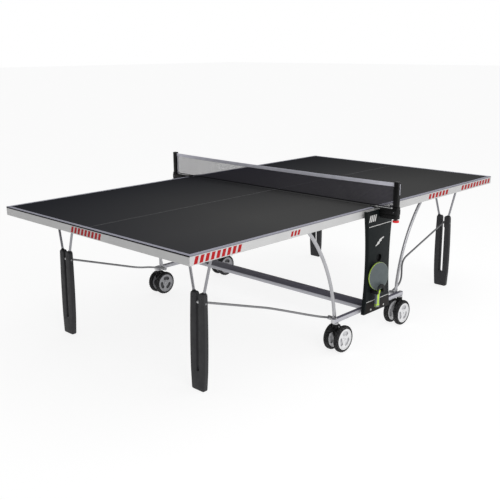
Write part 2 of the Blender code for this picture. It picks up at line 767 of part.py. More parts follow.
def make_tension_knob(row, far):
    """Red thumb wheel on the screw under the bracket."""
    name = f"{row}_tension_knob"
    bottom = 0.6925
    height = 0.012
    knob_radius = 0.0178
    screw_radius = 0.006
    wheel = cylinder(name, (0.0, far * POST_Y, bottom), (0.0, far * POST_Y, bottom + height),
                     knob_radius, "red", 24)
    screw = cylinder(f"{name}_screw", (0.0, far * POST_Y, bottom + height - 0.001),
                     (0.0, far * POST_Y, BRACKET_BOTTOM - TOUCH_GAP), screw_radius, sides=12)
    unite(wheel, screw)
    pivot_at(wheel, (0.0, far * POST_Y, bottom))


# ---------------------------------------------------------------- casters
def make_caster_fork(name, x, y, toward_middle):
    """Swivelling body between the twin wheels, with its stem and the axle."""
    axle = (x + toward_middle * CASTER_TRAIL, WHEEL_RADIUS)
    half_width = 0.011
    outline = hull_outline(axle, 0.024, (x, 0.134), 0.018)
    fork = slab(name, outline, "y", (y - half_width, y + half_width), "black")
    crown_bottom = 0.128
    crown_radius = 0.0175
    crown = cylinder(f"{name}_crown", (x, y, crown_bottom), (x, y, CASTER_TOP), crown_radius)
    axle_reach = WHEEL_OFFSET_Y + WHEEL_WIDTH / 2 - 0.0015
    shaft = cylinder(f"{name}_axle", (axle[0], y - axle_reach, axle[1]),
                     (axle[0], y + axle_reach, axle[1]), AXLE_RADIUS, sides=16)
    unite(fork, crown, shaft)
    pivot_at(fork, (x, y, CASTER_TOP))


def wheel_profile():
    """Tyre with rounded shoulders round a dished hub, as (radius, depth) pairs."""
    half = WHEEL_WIDTH / 2
    bore = AXLE_RADIUS + TOUCH_GAP
    shoulder = 0.007
    rim = 0.060
    dish = 0.056
    boss = 0.018
    outer = [(WHEEL_RADIUS - shoulder + shoulder * math.sin(angle),
              half - shoulder + shoulder * math.cos(angle))
             for angle in (math.pi / 4 * step for step in range(3))]
    side = outer + [(radius, -depth) for radius, depth in reversed(outer)]
    dish_back = [(rim, -half), (dish, -half + 0.005), (boss, -half + 0.004), (bore, -half + 0.001)]
    dish_front = [(radius, -depth) for radius, depth in reversed(dish_back)]
    return side + dish_back + dish_front


def make_wheel(name, x, y):
    wheel = lathe(name, wheel_profile(), "wheel")
    wheel.location = (x, y, WHEEL_RADIUS)
    smooth(wheel)


def make_brake_pedal(name, x, y, outwards):
    """Foot pedal of the caster brake, hinged on the side away from the wheels' axle."""
    pin = (x + outwards * 0.0225, 0.138)
    tip = (x + outwards * 0.066, 0.128)
    pin_radius = 0.0045
    tip_radius = 0.0030
    half_width = 0.014
    pedal = slab(name, hull_outline(pin, pin_radius, tip, tip_radius, 4), "y",
                 (y - half_width, y + half_width), "black")
    pivot_at(pedal, (pin[0], y, pin[1]))


def make_caster(side, sign, row, far, with_brake):
    label = f"{row}_{side}"
    x, y = sign * CASTER_X, far * CASTER_Y
    make_caster_fork(f"{label}_caster_fork", x, y, -sign)
    for place, offset in (("inner", -WHEEL_OFFSET_Y), ("outer", WHEEL_OFFSET_Y)):
        make_wheel(f"{label}_{place}_wheel", x - sign * CASTER_TRAIL, y + far * offset)
    if with_brake:
        make_brake_pedal(f"{label}_brake_pedal", x, y, sign)


# ---------------------------------------------------------------- bat
def make_bat():
    """Bat stored on the near panel: a round blade on a flat handle."""
    turn = (Matrix.Translation((BAT_X, -BAT_Y, BAT_Z)) @ Matrix.Rotation(-BAT_YAW, 4, "Z")
            @ Matrix.Rotation(BAT_LEAN, 4, "Y"))
    sides = 32
    blade_half_thickness = 0.0050
    handle_half_thickness = 0.0085
    blade_outline = [(BLADE_HALF_WIDTH * math.cos(angle), BLADE_HALF_HEIGHT * math.sin(angle))
                     for angle in (2 * math.pi / sides * step for step in range(sides))]
    blade = slab("bat_blade", blade_outline, "y", (-blade_half_thickness, blade_half_thickness),
                 "bat")
    shoulder = -BLADE_HALF_HEIGHT - 0.0020
    waist = -0.110
    half_side = [(0.0125, -HANDLE_END), (0.0112, waist), (0.0165, shoulder)]
    handle_outline = half_side + [(-across, up) for across, up in reversed(half_side)]
    handle = slab("bat_handle", handle_outline, "y",
                  (-handle_half_thickness, handle_half_thickness), "grip")
    for piece in (blade, handle):
        piece.data.transform(turn)
    soften(handle, 0.003)


# ---------------------------------------------------------------- assembly
def main():
    make_cross_beam()
    make_net()
    for row, far in ROWS.items():
        make_rail(row, far)
        make_side_panel(row, far)
        make_net_bracket(row, far)
        make_net_post(row, far)
        make_tension_knob(row, far)
    for side, sign in SIDES.items():
        make_board(side, sign)
        make_frame(side, sign)
        make_release_lever(side, sign)
        for row, far in ROWS.items():
            make_guide_track(side, sign, row, far)
            make_fold_pin(side, sign, row, far)
            make_arm(side, sign, row, far)
            make_leg_frame(side, sign, row, far)
            make_leg_pad(side, sign, row, far)
            make_leg_rod(side, sign, row, far)
            make_caster(side, sign, row, far, with_brake=(sign == far))
    make_bat()


main()
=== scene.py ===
"""Looks of the folding ping pong table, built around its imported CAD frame.

World frame as in the CAD: metres, +Z up, X along the playing length, Y across it.
"left" is the half at -X and "right" the one at +X; "near" is the long side at -Y.
A sign is -1 or 1 for a half, far is -1 or 1 for a long side, and edge is either side of a piece.
"""
from math import asin, atan2, copysign, cos, degrees, pi, radians, sin, sqrt

import bmesh
import bpy
from mathutils import Matrix, Vector


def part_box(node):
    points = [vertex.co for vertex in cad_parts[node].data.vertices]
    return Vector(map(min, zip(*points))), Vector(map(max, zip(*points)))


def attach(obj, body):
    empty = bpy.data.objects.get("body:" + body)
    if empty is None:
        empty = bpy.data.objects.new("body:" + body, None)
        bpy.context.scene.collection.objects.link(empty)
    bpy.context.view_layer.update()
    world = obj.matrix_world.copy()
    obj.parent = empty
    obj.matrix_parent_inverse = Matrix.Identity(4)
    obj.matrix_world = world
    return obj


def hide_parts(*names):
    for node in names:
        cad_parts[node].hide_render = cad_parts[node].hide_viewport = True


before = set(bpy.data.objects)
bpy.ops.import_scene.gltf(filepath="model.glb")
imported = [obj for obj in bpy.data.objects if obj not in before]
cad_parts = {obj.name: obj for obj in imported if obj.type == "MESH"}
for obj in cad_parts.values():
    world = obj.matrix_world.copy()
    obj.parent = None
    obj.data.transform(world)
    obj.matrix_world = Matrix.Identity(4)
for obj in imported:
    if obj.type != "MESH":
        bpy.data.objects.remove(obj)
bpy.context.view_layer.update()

SIDES = {"left": -1, "right": 1}
ROWS = {"near": -1, "far": 1}
EDGES = (-1, 1)
ALONG, ACROSS, UP = (1, 0, 0), (0, 1, 0), (0, 0, 1)
MATERIALS = {}

# places repeated from the CAD, in metres
FOLD_X = 0.086
CHASSIS_X, CHASSIS_Z = 0.3, 0.179
ARM_X, ARM_Y, ARM_Z, ARM_BULGE, ARM_RADIUS = 0.555, 0.7275, 0.728, 0.054, 0.0095
LEG_X, LEG_Y, LEG_Z, LEG_RADIUS = 1.125, 0.557, 0.73, 0.007
LEG_SPREAD, FOOT_SPREAD = 0.094, 0.0258
PAD_FOOT_X, PAD_LEAN, PAD_TOP, PAD_HALF = 1.144, 0.018, 0.497, 0.013
SLOT_HALF, SLOT_FLOOR = 0.009, 0.1
ROD_PIN_Z, ROD_FOOT_Y, ROD_RADIUS = 0.448, 0.695, 0.006
RAIL_Y, RAIL_WIDTH = 0.745, 0.024
PANEL_BACK, PANEL_FACE, PANEL_BOTTOM, PANEL_TOP = 0.778, 0.8, 0.168, 0.755
POST_Y, COLLAR_HALF = 0.897, 0.0165
CASTER_X, CASTER_Y, CASTER_TRAIL, WHEEL_RADIUS = 0.315, 0.748, 0.025, 0.075
BALL_Z = 0.478
NET_THREAD, CLOTH = 0.0022, 0.0005


# ---------------------------------------------------------------- camera, light and floor
class Nodes:
    """Adds linked shader nodes to a node tree."""

    def __init__(self, tree):
        self.tree = tree

    def node(self, kind, links=(), values=(), **settings):
        made = self.tree.nodes.new("ShaderNode" + kind)
        for key, value in settings.items():
            setattr(made, key, value)
        for socket, value in dict(values).items():
            made.inputs[socket].default_value = value
        for socket, source in dict(links).items():
            self.tree.links.new(source, made.inputs[socket])
        return made.outputs

    def split(self, vector):
        return self.node("SeparateXYZ", {"Vector": vector})

    def ramp(self, source, low, high, out_low=0.0, out_high=1.0):
        values = {"From Min": low, "From Max": high, "To Min": out_low, "To Max": out_high}
        return self.node("MapRange", {"Value": source}, values)["Result"]

    def math(self, operation, *sources):
        return self.node("Math", enumerate(sources), operation=operation)["Value"]


def link(obj):
    bpy.context.scene.collection.objects.link(obj)
    return obj


def make_camera():
    data = bpy.data.cameras.new("camera")
    data.sensor_fit = "HORIZONTAL"
    data.sensor_width = 36.0
    data.lens = 54.15
    camera = link(bpy.data.objects.new("camera", data))
    camera.location = (-3.408, -3.06, 1.609)
    camera.rotation_euler = [radians(angle) for angle in (74.93, 0.27, -46.423)]
    bpy.context.scene.camera = camera


def area_light(name, place, target, size, power):
    data = bpy.data.lights.new(name, "AREA")
    data.shape = "RECTANGLE"
    data.size, data.size_y = size
    data.energy = power
    light = link(bpy.data.objects.new(name, data))
    light.location = place
    light.rotation_euler = (Vector(target) - Vector(place)).to_track_quat("-Z", "Y").to_euler()


def make_backdrop():
    """White surround, whose light is dimmer from the left and from above."""
    world = bpy.data.worlds.new("studio")
    world.use_nodes = True
    nodes = Nodes(world.node_tree)
    place = nodes.split(nodes.node("TexCoord")["Generated"])
    light = nodes.math("MULTIPLY", nodes.ramp(place["X"], -0.75, 0.1, 0.2, 1.0),
                       nodes.ramp(place["Z"], 0.2, 0.85, 1.0, 0.5))
    seen = nodes.math("MAXIMUM", light, nodes.node("LightPath")["Is Camera Ray"])
    backdrop = world.node_tree.nodes["Background"]
    backdrop.inputs["Color"].default_value = (1.0, 1.0, 1.0, 1.0)
    world.node_tree.links.new(seen, backdrop.inputs["Strength"])
    bpy.context.scene.world = world


def make_studio():
    """A pale floor that runs into a pale surround, with soft light from the near long side."""
    bpy.context.scene.view_settings.view_transform = "Standard"
    make_backdrop()
    area_light("key", (-2.0, -4.3, 2.6), (-0.3, -0.4, 0.5), (2.6, 2.2), 70.0)
    area_light("top", (0.8, -0.6, 3.6), (0.5, -0.4, 0.0), (2.4, 1.6), 16.0)
    paint = Finish("floor", (0.24, 0.24, 0.24), 0.9, specular=0.0)
    paint.set("Emission Color", (1.0, 1.0, 1.0, 1.0))
    paint.set("Emission Strength", 0.84)
    reach = 60.0
    mesh = bpy.data.meshes.new("floor")
    mesh.from_pydata([(-reach, -reach, 0), (reach, -reach, 0), (reach, reach, 0),
                      (-reach, reach, 0)], [], [(0, 1, 2, 3)])
    add("floor", mesh, "floor")


# ---------------------------------------------------------------- procedural materials
class Finish(Nodes):
    """A Principled shader whose colour, gloss and relief vary by noise in object space."""

    def __init__(self, name, colour, roughness, metallic=0.0, specular=0.5):
        material = bpy.data.materials.new(name)
        material.use_nodes = True
        super().__init__(material.node_tree)
        MATERIALS[name] = material
        self.shader = self.tree.nodes["Principled BSDF"]
        self.colour = colour
        material.diffuse_color = (*colour, 1.0)
        self.set("Base Color", (*colour, 1.0))
        self.set("Roughness", roughness)
        self.set("Metallic", metallic)
        self.set("Specular IOR Level", specular)
        self.painted = None
        self.bumped = None
        self.where = self.node("TexCoord")["Object"]

    def set(self, socket, value):
        self.shader.inputs[socket].default_value = value

    def noise(self, scale, detail):
        return self.node("TexNoise", {"Vector": self.where},
                         {"Scale": scale, "Detail": detail})["Fac"]

    def tint(self, mask, colour):
        """Blends the colour towards another one as far as the mask says."""
        values = {7: (*colour, 1.0)}
        links = {0: mask}
        if self.painted is None:
            values[6] = (*self.colour, 1.0)
        else:
            links[6] = self.painted
        self.painted = self.node("Mix", links, values, data_type="RGBA")[2]
        self.tree.links.new(self.painted, self.shader.inputs["Base Color"])
        return self

    def mottle(self, scale, amount):
        """Slightly darker clouds over the base colour."""
        mask = self.ramp(self.noise(scale, 3.0), 0.35, 0.7)
        return self.tint(mask, tuple(part * (1.0 - amount) for part in self.colour))

    def flecks(self, scale, share, colour):
        """Small specks of another colour."""
        return self.tint(self.ramp(self.noise(scale, 1.0), 1.0 - share, 1.04 - share), colour)

    def cast(self, axis, start, end, colour, strength):
        """Leans the colour steadily towards another one along an axis of the object, as painted
        shade.
        """
        return self.tint(self.ramp(self.split(self.where)[axis], start, end, 0.0, strength), colour)

    def painted_shadow_band(self, colour, end, low):
        """Paints the strip above a height on the outer end faces, as a painted shadow under the
        board's edge.
        """
        place = self.split(self.where)
        outward = self.math("ABSOLUTE", place["X"])
        mask = self.math("MULTIPLY", self.ramp(outward, end - 0.001, end - 0.0005),
                         self.ramp(place["Z"], low, low + 0.0003))
        return self.tint(mask, colour)

    def gloss(self, scale, low, high):
        rough = self.ramp(self.noise(scale, 4.0), 0.3, 0.7, low, high)
        self.tree.links.new(rough, self.shader.inputs["Roughness"])
        return self

    def relief(self, height, depth):
        links = {"Height": height}
        if self.bumped is not None:
            links["Normal"] = self.bumped
        self.bumped = self.node("Bump", links, {"Strength": 1.0, "Distance": depth})["Normal"]
        self.tree.links.new(self.bumped, self.shader.inputs["Normal"])
        return self

    def grain(self, scale, depth):
        return self.relief(self.noise(scale, 2.0), depth)

    def weave(self, spacing):
        """Crossed threads in the plane of the net."""
        for axis in "YZ":
            wave = self.node("TexWave", {"Vector": self.where},
                             {"Scale": 0.3142 / spacing, "Distortion": 0.4},
                             wave_type="BANDS", bands_direction=axis)
            self.relief(wave["Fac"], 0.00005)
        return self

    def wear(self, colour, width, strength=0.5):
        """Rubbed edges: the shading normal turns away from the true one near an edge."""
        rounded = self.node("Bevel", values={"Radius": width}, samples=4)["Normal"]
        true_normal = self.node("NewGeometry")["Normal"]
        dot = self.node("VectorMath", {0: rounded, 1: true_normal}, operation="DOT_PRODUCT")
        near_edge = self.ramp(dot["Value"], 0.995, 0.93, 0.0, strength)
        patchy = self.ramp(self.noise(60.0, 4.0), 0.4, 0.62)
        return self.tint(self.math("MULTIPLY", near_edge, patchy), colour)


def make_board_finishes():
    (Finish("laminate", (0.08, 0.08, 0.08), 0.62, specular=0.0)
     .mottle(2.2, 0.015).flecks(900.0, 0.3, (0.083, 0.083, 0.0835))
     # painted shade: the face darkens and turns bluer towards the far long side and the left end,
     # and darkens towards the right end
     .cast("Y", -0.45, 0.8, (0.024, 0.0252, 0.0305), 0.95)
     .cast("X", -0.65, -1.37, (0.024, 0.0252, 0.033), 0.45)
     .cast("X", 0.75, 1.37, (0.03, 0.03, 0.031), 0.35).grain(1500.0, 0.00002))
    (Finish("line", (0.38, 0.38, 0.455), 0.6, specular=0.2)
     .mottle(30.0, 0.1).grain(1200.0, 0.00002))
    (Finish("centre_line", (0.16, 0.16, 0.165), 0.6, specular=0.1)
     .mottle(30.0, 0.1).grain(1200.0, 0.00002))
    # painted shade and painted light: one board edge finish in a near-black shaded copy for the
    # ends and a pale lit copy for the long sides
    Finish("edge_painted_shade", (0.0015, 0.0015, 0.002), 0.6, specular=0.05).mottle(90.0, 0.3)
    Finish("edge_painted_light", (0.17, 0.17, 0.2), 0.55).mottle(60.0, 0.12).grain(900.0, 0.00002)
    Finish("underside", (0.06, 0.06, 0.063), 0.7).mottle(5.0, 0.18).grain(700.0, 0.00004)
    (Finish("apron", (0.56, 0.56, 0.56), 0.45, specular=0.3)
     .mottle(9.0, 0.05).gloss(30.0, 0.38, 0.5).grain(650.0, 0.00002)
     # painted shadow: a near-black strip along the top of the end aprons, under the board's end
     # edge
     .wear((0.66, 0.66, 0.655), 0.0015).painted_shadow_band((0.002, 0.002, 0.003), 1.3685, 0.7518))
    Finish("red_mark", (0.42, 0.008, 0.01), 0.5, specular=0.15).mottle(50.0, 0.08)
    Finish("white_mark", (0.66, 0.66, 0.65), 0.5, specular=0.2).mottle(80.0, 0.08)


def make_metal_finishes():
    (Finish("silver", (0.52, 0.52, 0.56), 0.42, 0.1, specular=0.2)
     .mottle(14.0, 0.1).gloss(40.0, 0.36, 0.48).grain(900.0, 0.00001)
     .wear((0.58, 0.58, 0.6), 0.0015))
    # painted shade: a dark copy of the silver paint for the upward faces of the rails and the beam
    # under the table top
    (Finish("silver_painted_shade", (0.15, 0.145, 0.185), 0.55, specular=0.05)
     .mottle(14.0, 0.1).grain(900.0, 0.00001))
    (Finish("zinc", (0.46, 0.46, 0.48), 0.3, 0.55)
     .mottle(22.0, 0.1).gloss(55.0, 0.26, 0.38).grain(300.0, 0.00001))
    (Finish("leg_tube", (0.3, 0.3, 0.32), 0.2, 0.9).mottle(12.0, 0.06).gloss(20.0, 0.18, 0.23))
    (Finish("rod", (0.24, 0.24, 0.25), 0.34, 0.5)
     .mottle(22.0, 0.1).gloss(55.0, 0.28, 0.4).grain(300.0, 0.00001))
    Finish("bolt", (0.62, 0.62, 0.63), 0.3, 0.6).mottle(300.0, 0.15).gloss(400.0, 0.24, 0.4)


def make_plastic_finishes():
    (Finish("pad", (0.03, 0.03, 0.033), 0.52, specular=0.25)
     .mottle(12.0, 0.15).gloss(50.0, 0.46, 0.6).grain(1100.0, 0.00004)
     .wear((0.055, 0.055, 0.058), 0.002))
    (Finish("panel", (0.0075, 0.0105, 0.0112), 0.5, specular=0.1)
     .mottle(10.0, 0.2).gloss(45.0, 0.42, 0.55).grain(900.0, 0.00004)
     .wear((0.035, 0.04, 0.04), 0.002))
    (Finish("panel_foot", (0.017, 0.015, 0.0142), 0.55, specular=0.1)
     .mottle(14.0, 0.2).grain(900.0, 0.00004))
    (Finish("black", (0.0035, 0.0035, 0.004), 0.46, specular=0.22)
     .mottle(16.0, 0.25).gloss(60.0, 0.4, 0.55).grain(1000.0, 0.00004)
     .wear((0.018, 0.018, 0.02), 0.0015))
    (Finish("red", (0.8, 0.01, 0.014), 0.38)
     .mottle(120.0, 0.12).gloss(200.0, 0.32, 0.44).grain(1500.0, 0.00003))
    (Finish("tyre", (0.008, 0.008, 0.0085), 0.7, specular=0.3)
     .mottle(60.0, 0.25).gloss(90.0, 0.6, 0.8).grain(1400.0, 0.00004)
     .flecks(150.0, 0.4, (0.06, 0.06, 0.062)).wear((0.15, 0.15, 0.15), 0.002, 0.9))
    (Finish("hub", (0.78, 0.78, 0.79), 0.4)
     .mottle(40.0, 0.07).gloss(80.0, 0.34, 0.46).grain(1200.0, 0.00002))
    # painted shade: darker copies of the hub and web finishes for the far wheels, which stand in
    # the table's shade
    (Finish("hub_painted_shade", (0.34, 0.34, 0.36), 0.36)
     .mottle(40.0, 0.12).gloss(80.0, 0.3, 0.42).grain(1200.0, 0.00002))
    Finish("web", (0.62, 0.62, 0.64), 0.5).mottle(40.0, 0.1).grain(1200.0, 0.00002)
    Finish("web_painted_shade", (0.05, 0.05, 0.055), 0.5).mottle(40.0, 0.1)


def make_bat_and_net_finishes():
    (Finish("bat_rubber", (0.105, 0.125, 0.13), 0.58, specular=0.3)
     .mottle(30.0, 0.1).gloss(60.0, 0.5, 0.66).grain(1600.0, 0.00003))
    Finish("bat_rim", (0.24, 0.27, 0.25), 0.6).mottle(80.0, 0.1)
    (Finish("lime", (0.5, 0.74, 0.05), 0.45)
     .mottle(70.0, 0.1).gloss(120.0, 0.38, 0.52).grain(1300.0, 0.00003))
    Finish("grip", (0.2, 0.23, 0.27), 0.6).mottle(90.0, 0.15).grain(800.0, 0.00006)
    (Finish("net", (0.056, 0.05, 0.07), 0.8, specular=0.2)
     .mottle(150.0, 0.25).grain(2500.0, 0.00003).weave(0.0008))
    Finish("hem", (0.008, 0.008, 0.011), 0.85, specular=0.2).mottle(120.0, 0.25).weave(0.001)
    Finish("tape", (0.72, 0.72, 0.8), 0.82, specular=0.2).mottle(25.0, 0.1).weave(0.0011)
    Finish("thread", (0.7, 0.7, 0.76), 0.7).mottle(200.0, 0.15)


# ---------------------------------------------------------------- building blocks
def smooth(obj, angle=35.0):
    obj.data.shade_smooth()
    obj.data.set_sharp_from_angle(angle=radians(angle))
    return obj


def add(name, mesh, *materials):
    for material in materials:
        mesh.materials.append(MATERIALS[material])
    return link(bpy.data.objects.new(name, mesh))


def from_bmesh(bm, *materials):
    mesh = bpy.data.meshes.new("piece")
    bmesh.ops.recalc_face_normals(bm, faces=bm.faces)
    bm.to_mesh(mesh)
    bm.free()
    return smooth(add("piece", mesh, *materials))


def evaluated_mesh(obj):
    bpy.context.view_layer.update()
    view = bpy.context.evaluated_depsgraph_get()
    return bpy.data.meshes.new_from_object(obj.evaluated_get(view))


def baked(obj):
    """Applies an object's modifiers to its mesh."""
    mesh = evaluated_mesh(obj)
    obj.modifiers.clear()
    obj.data = mesh
    return obj


def assemble(name, pieces, body, slot, *nodes):
    """Merges pieces, each with its materials, into one object that rides on a body and may
    stand for CAD nodes."""
    bm = bmesh.new()
    materials = []
    for piece in pieces:
        first = len(bm.faces)
        bm.from_mesh(piece.data)
        bm.faces.ensure_lookup_table()
        renumber = []
        for material in piece.data.materials:
            if material not in materials:
                materials.append(material)
            renumber.append(materials.index(material))
        for face in bm.faces[first:]:
            face.material_index = renumber[face.material_index]
        bpy.data.objects.remove(piece, do_unlink=True)
    mesh = bpy.data.meshes.new(name)
    bm.to_mesh(mesh)
    bm.free()
    for material in materials:
        mesh.materials.append(material)
    obj = link(bpy.data.objects.new(name, mesh))
    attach(obj, body)
    if nodes:
        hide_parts(*nodes)
    return obj


def rounded_box(low, high, radius, material, segments=3):
    """A box with rounded edges between two opposite corners."""
    low, high = Vector(map(min, low, high)), Vector(map(max, low, high))
    bm = bmesh.new()
    bmesh.ops.create_cube(bm, size=1.0)
    bmesh.ops.transform(bm, verts=bm.verts, matrix=Matrix.Translation((low + high) / 2)
                        @ Matrix.Diagonal((*(high - low), 1.0)))
    bmesh.ops.bevel(bm, geom=bm.edges, offset=radius, segments=segments, profile=0.5,
                    affect="EDGES")
    return from_bmesh(bm, material)


def paint_shade_on_top(obj, material, steepness=0.7):
    """Gives the upward faces of a bar a darker finish: painted shade under the table top."""
    obj.data.materials.append(MATERIALS[material])
    for face in obj.data.polygons:
        if face.normal.z > steepness:
            face.material_index = len(obj.data.materials) - 1
    return obj


def plate(outlines, facing, depths, rounding, material, steps=2):
    """A flat plate with rounded edges, cut to an outline; any further outlines are holes.

    facing "y" reads outlines as (x, z), "x" as (y, z) and "z" as (x, y).
    """
    curve = bpy.data.curves.new("plate", "CURVE")
    curve.dimensions = "2D"
    curve.fill_mode = "BOTH"
    curve.extrude = abs(depths[1] - depths[0]) / 2 - rounding
    curve.bevel_depth = rounding
    curve.bevel_resolution = steps
    curve.offset = -rounding
    for outline in outlines:
        spline = curve.splines.new("POLY")
        spline.points.add(len(outline) - 1)
        for knot, (across, up) in zip(spline.points, outline):
            knot.co = (across, up, 0.0, 1.0)
        spline.use_cyclic_u = True
    holder = link(bpy.data.objects.new("plate", curve))
    middle = (depths[0] + depths[1]) / 2
    quarter = Matrix.Rotation(pi / 2, 4, "X")
    holder.matrix_world = {"y": Matrix.Translation((0, middle, 0)) @ quarter,
        "x": Matrix.Translation((middle, 0, 0)) @ Matrix.Rotation(pi / 2, 4, "Z") @ quarter,
        "z": Matrix.Translation((0, 0, middle))}[facing]
    mesh = evaluated_mesh(holder)
    mesh.transform(holder.matrix_world)
    bpy.data.objects.remove(holder, do_unlink=True)
    bm = bmesh.new()
    bm.from_mesh(mesh)
    bmesh.ops.remove_doubles(bm, verts=bm.verts, dist=0.00001)
    return from_bmesh(bm, material)


def skin(bm, loops, material, ring=False):
    """Faces between loops of points, with the ends closed or joined into a ring."""
    pairs = list(zip(loops, loops[1:]))
    if ring:
        pairs.append((loops[-1], loops[0]))
    for here, there in pairs:
        for step in range(len(here)):
            after = (step + 1) % len(here)
            corners = list(dict.fromkeys((here[step], here[after], there[after], there[step])))
            if len(corners) > 2:
                bm.faces.new(corners)
    if not ring:
        for loop in (loops[0], loops[-1]):
            if loop[0] is not loop[1]:
                bm.faces.new(loop)
    return from_bmesh(bm, material)


def sweep(points, halves, material, across=ACROSS, sides=20, cap=0.001):
    """A closed bar along points. halves gives, once or at each point, the half width, the half
    thickness along the "across" direction, and how square the section is (2 is round)."""
    points = [Vector(point) for point in points]
    last = len(points) - 1
    rings = []
    for number, point in enumerate(points):
        along = (points[min(number + 1, last)] - points[max(number - 1, 0)]).normalized()
        half = halves[number] if isinstance(halves, list) else halves
        small = (half[0] - cap, half[1] - cap, half[2])
        if number == 0:
            rings += [(point, along, small), (point + along * cap, along, half)]
        elif number == last:
            rings += [(point - along * cap, along, half), (point, along, small)]
        else:
            rings.append((point, along, half))
    bm = bmesh.new()
    loops = []
    for point, along, (wide, thick, square) in rings:
        thin_way = (Vector(across) - along * Vector(across).dot(along)).normalized()
        wide_way = along.cross(thin_way)
        loop = []
        for step in range(sides):
            c, s = [copysign(abs(part) ** (2 / square), part) for part in
                    (cos(2 * pi * step / sides), sin(2 * pi * step / sides))]
            loop.append(bm.verts.new(point + wide_way * wide * c + thin_way * thick * s))
        loops.append(loop)
    return skin(bm, loops, material)


def revolve(centre, axis, profile, material, segments=32, ring=False, shape=None):
    """Turns a (radius, height) profile about an axis. shape may change a point's radius
    by its step round the axis; a ring joins the profile's last point to its first."""
    turn = Vector(axis).to_track_quat("Z", "Y").to_matrix().to_4x4()
    bm = bmesh.new()
    loops = []
    for radius, height in profile:
        if radius <= 0:
            loops.append([bm.verts.new((0, 0, height))] * segments)
            continue
        loop = []
        for step in range(segments):
            angle = 2 * pi * step / segments
            reach = shape(step, radius) if shape else radius
            loop.append(bm.verts.new((reach * cos(angle), reach * sin(angle), height)))
        loops.append(loop)
    bmesh.ops.transform(bm, verts=bm.verts, matrix=Matrix.Translation(Vector(centre)) @ turn)
    return skin(bm, loops, material, ring)


def bush(centre, bore, radius, half, chamfer, material="zinc"):
    """A chamfered ring whose axis lies across the table."""
    profile = [(bore, -half), (radius - chamfer, -half), (radius, chamfer - half),
               (radius, half - chamfer), (radius - chamfer, half), (bore, half)]
    return revolve(centre, ACROSS, profile, material, 28, ring=True)


def screw(centre, axis, radius, height=0.0022, material="bolt"):
    """Domed screw head with a round driver recess, standing on centre."""
    profile = [(1, 0), (1, 0.35), (0.88, 0.75), (0.62, 1), (0.4, 1), (0.34, 0.45), (0, 0.4)]
    return revolve(centre, axis, [(radius * out, height * up) for out, up in profile], material, 18)


def cut(target, *tools):
    for tool in tools:
        step = target.modifiers.new("cut", "BOOLEAN")
        step.operation = "DIFFERENCE"
        step.solver = "EXACT"
        step.object = tool
    baked(target)
    for tool in tools:
        bpy.data.objects.remove(tool, do_unlink=True)
    return smooth(target)


def paint_node(name, material, width=0.0006, harden=False):
    """A CAD node kept as it is, with softened edges and a better finish."""
    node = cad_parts[name]
    node.modifiers.new("weld", "WELD").merge_threshold = 0.00001
    bevel = node.modifiers.new("soft_edges", "BEVEL")
    bevel.width = width
    bevel.segments = 2
    bevel.limit_method = "ANGLE"
    bevel.angle_limit = radians(50.0)
    bevel.harden_normals = harden
    node.data.materials.clear()
    node.data.materials.append(MATERIALS[material])


def split_at(bm, place, normal):
    bmesh.ops.bisect_plane(bm, geom=bm.verts[:] + bm.edges[:] + bm.faces[:], plane_co=place,
                           plane_no=normal, dist=0.000001)


def raise_face(bm, corners, lift):
    """A prism: a face through the corners, extruded by lift."""
    face = bm.faces.new([bm.verts.new(corner) for corner in corners])
    lifted = bmesh.ops.extrude_face_region(bm, geom=[face])
    bmesh.ops.translate(bm, vec=lift, verts=[
        vert for vert in lifted["geom"] if isinstance(vert, bmesh.types.BMVert)])


def arc(centre, radius, start, end, steps):
    """Points on a circular arc, angles in degrees."""
    angles = [radians(start + (end - start) * step / steps) for step in range(steps + 1)]
    return [(centre[0] + radius * cos(a), centre[1] + radius * sin(a)) for a in angles]


def mirrored(half):
    """The other half of an outline that is alike on both sides of its first coordinate."""
    return [(-across, up) for across, up in reversed(half)]


def moved(outline, across, up=0.0):
    return [(a + across, b + up) for a, b in outline]


def rectangle(low, high):
    return [low, (high[0], low[1]), high, (low[0], high[1])]


def rounded_outline(corners, radius, steps=4):
    """A polygon with its corners cut to arcs of about the given radius."""
    outline = []
    corners = [Vector(corner) for corner in corners]
    for number, corner in enumerate(corners):
        to_before = corners[number - 1] - corner
        to_after = corners[(number + 1) % len(corners)] - corner
        reach = min(radius, to_before.length * 0.45, to_after.length * 0.45)
        first = corner + to_before.normalized() * reach
        last = corner + to_after.normalized() * reach
        for step in range(steps + 1):
            share = step / steps
            outline.append(tuple(first.lerp(corner, share).lerp(corner.lerp(last, share), share)))
    return outline


def eased(share):
    return share ** 2 * (3.0 - 2.0 * share)


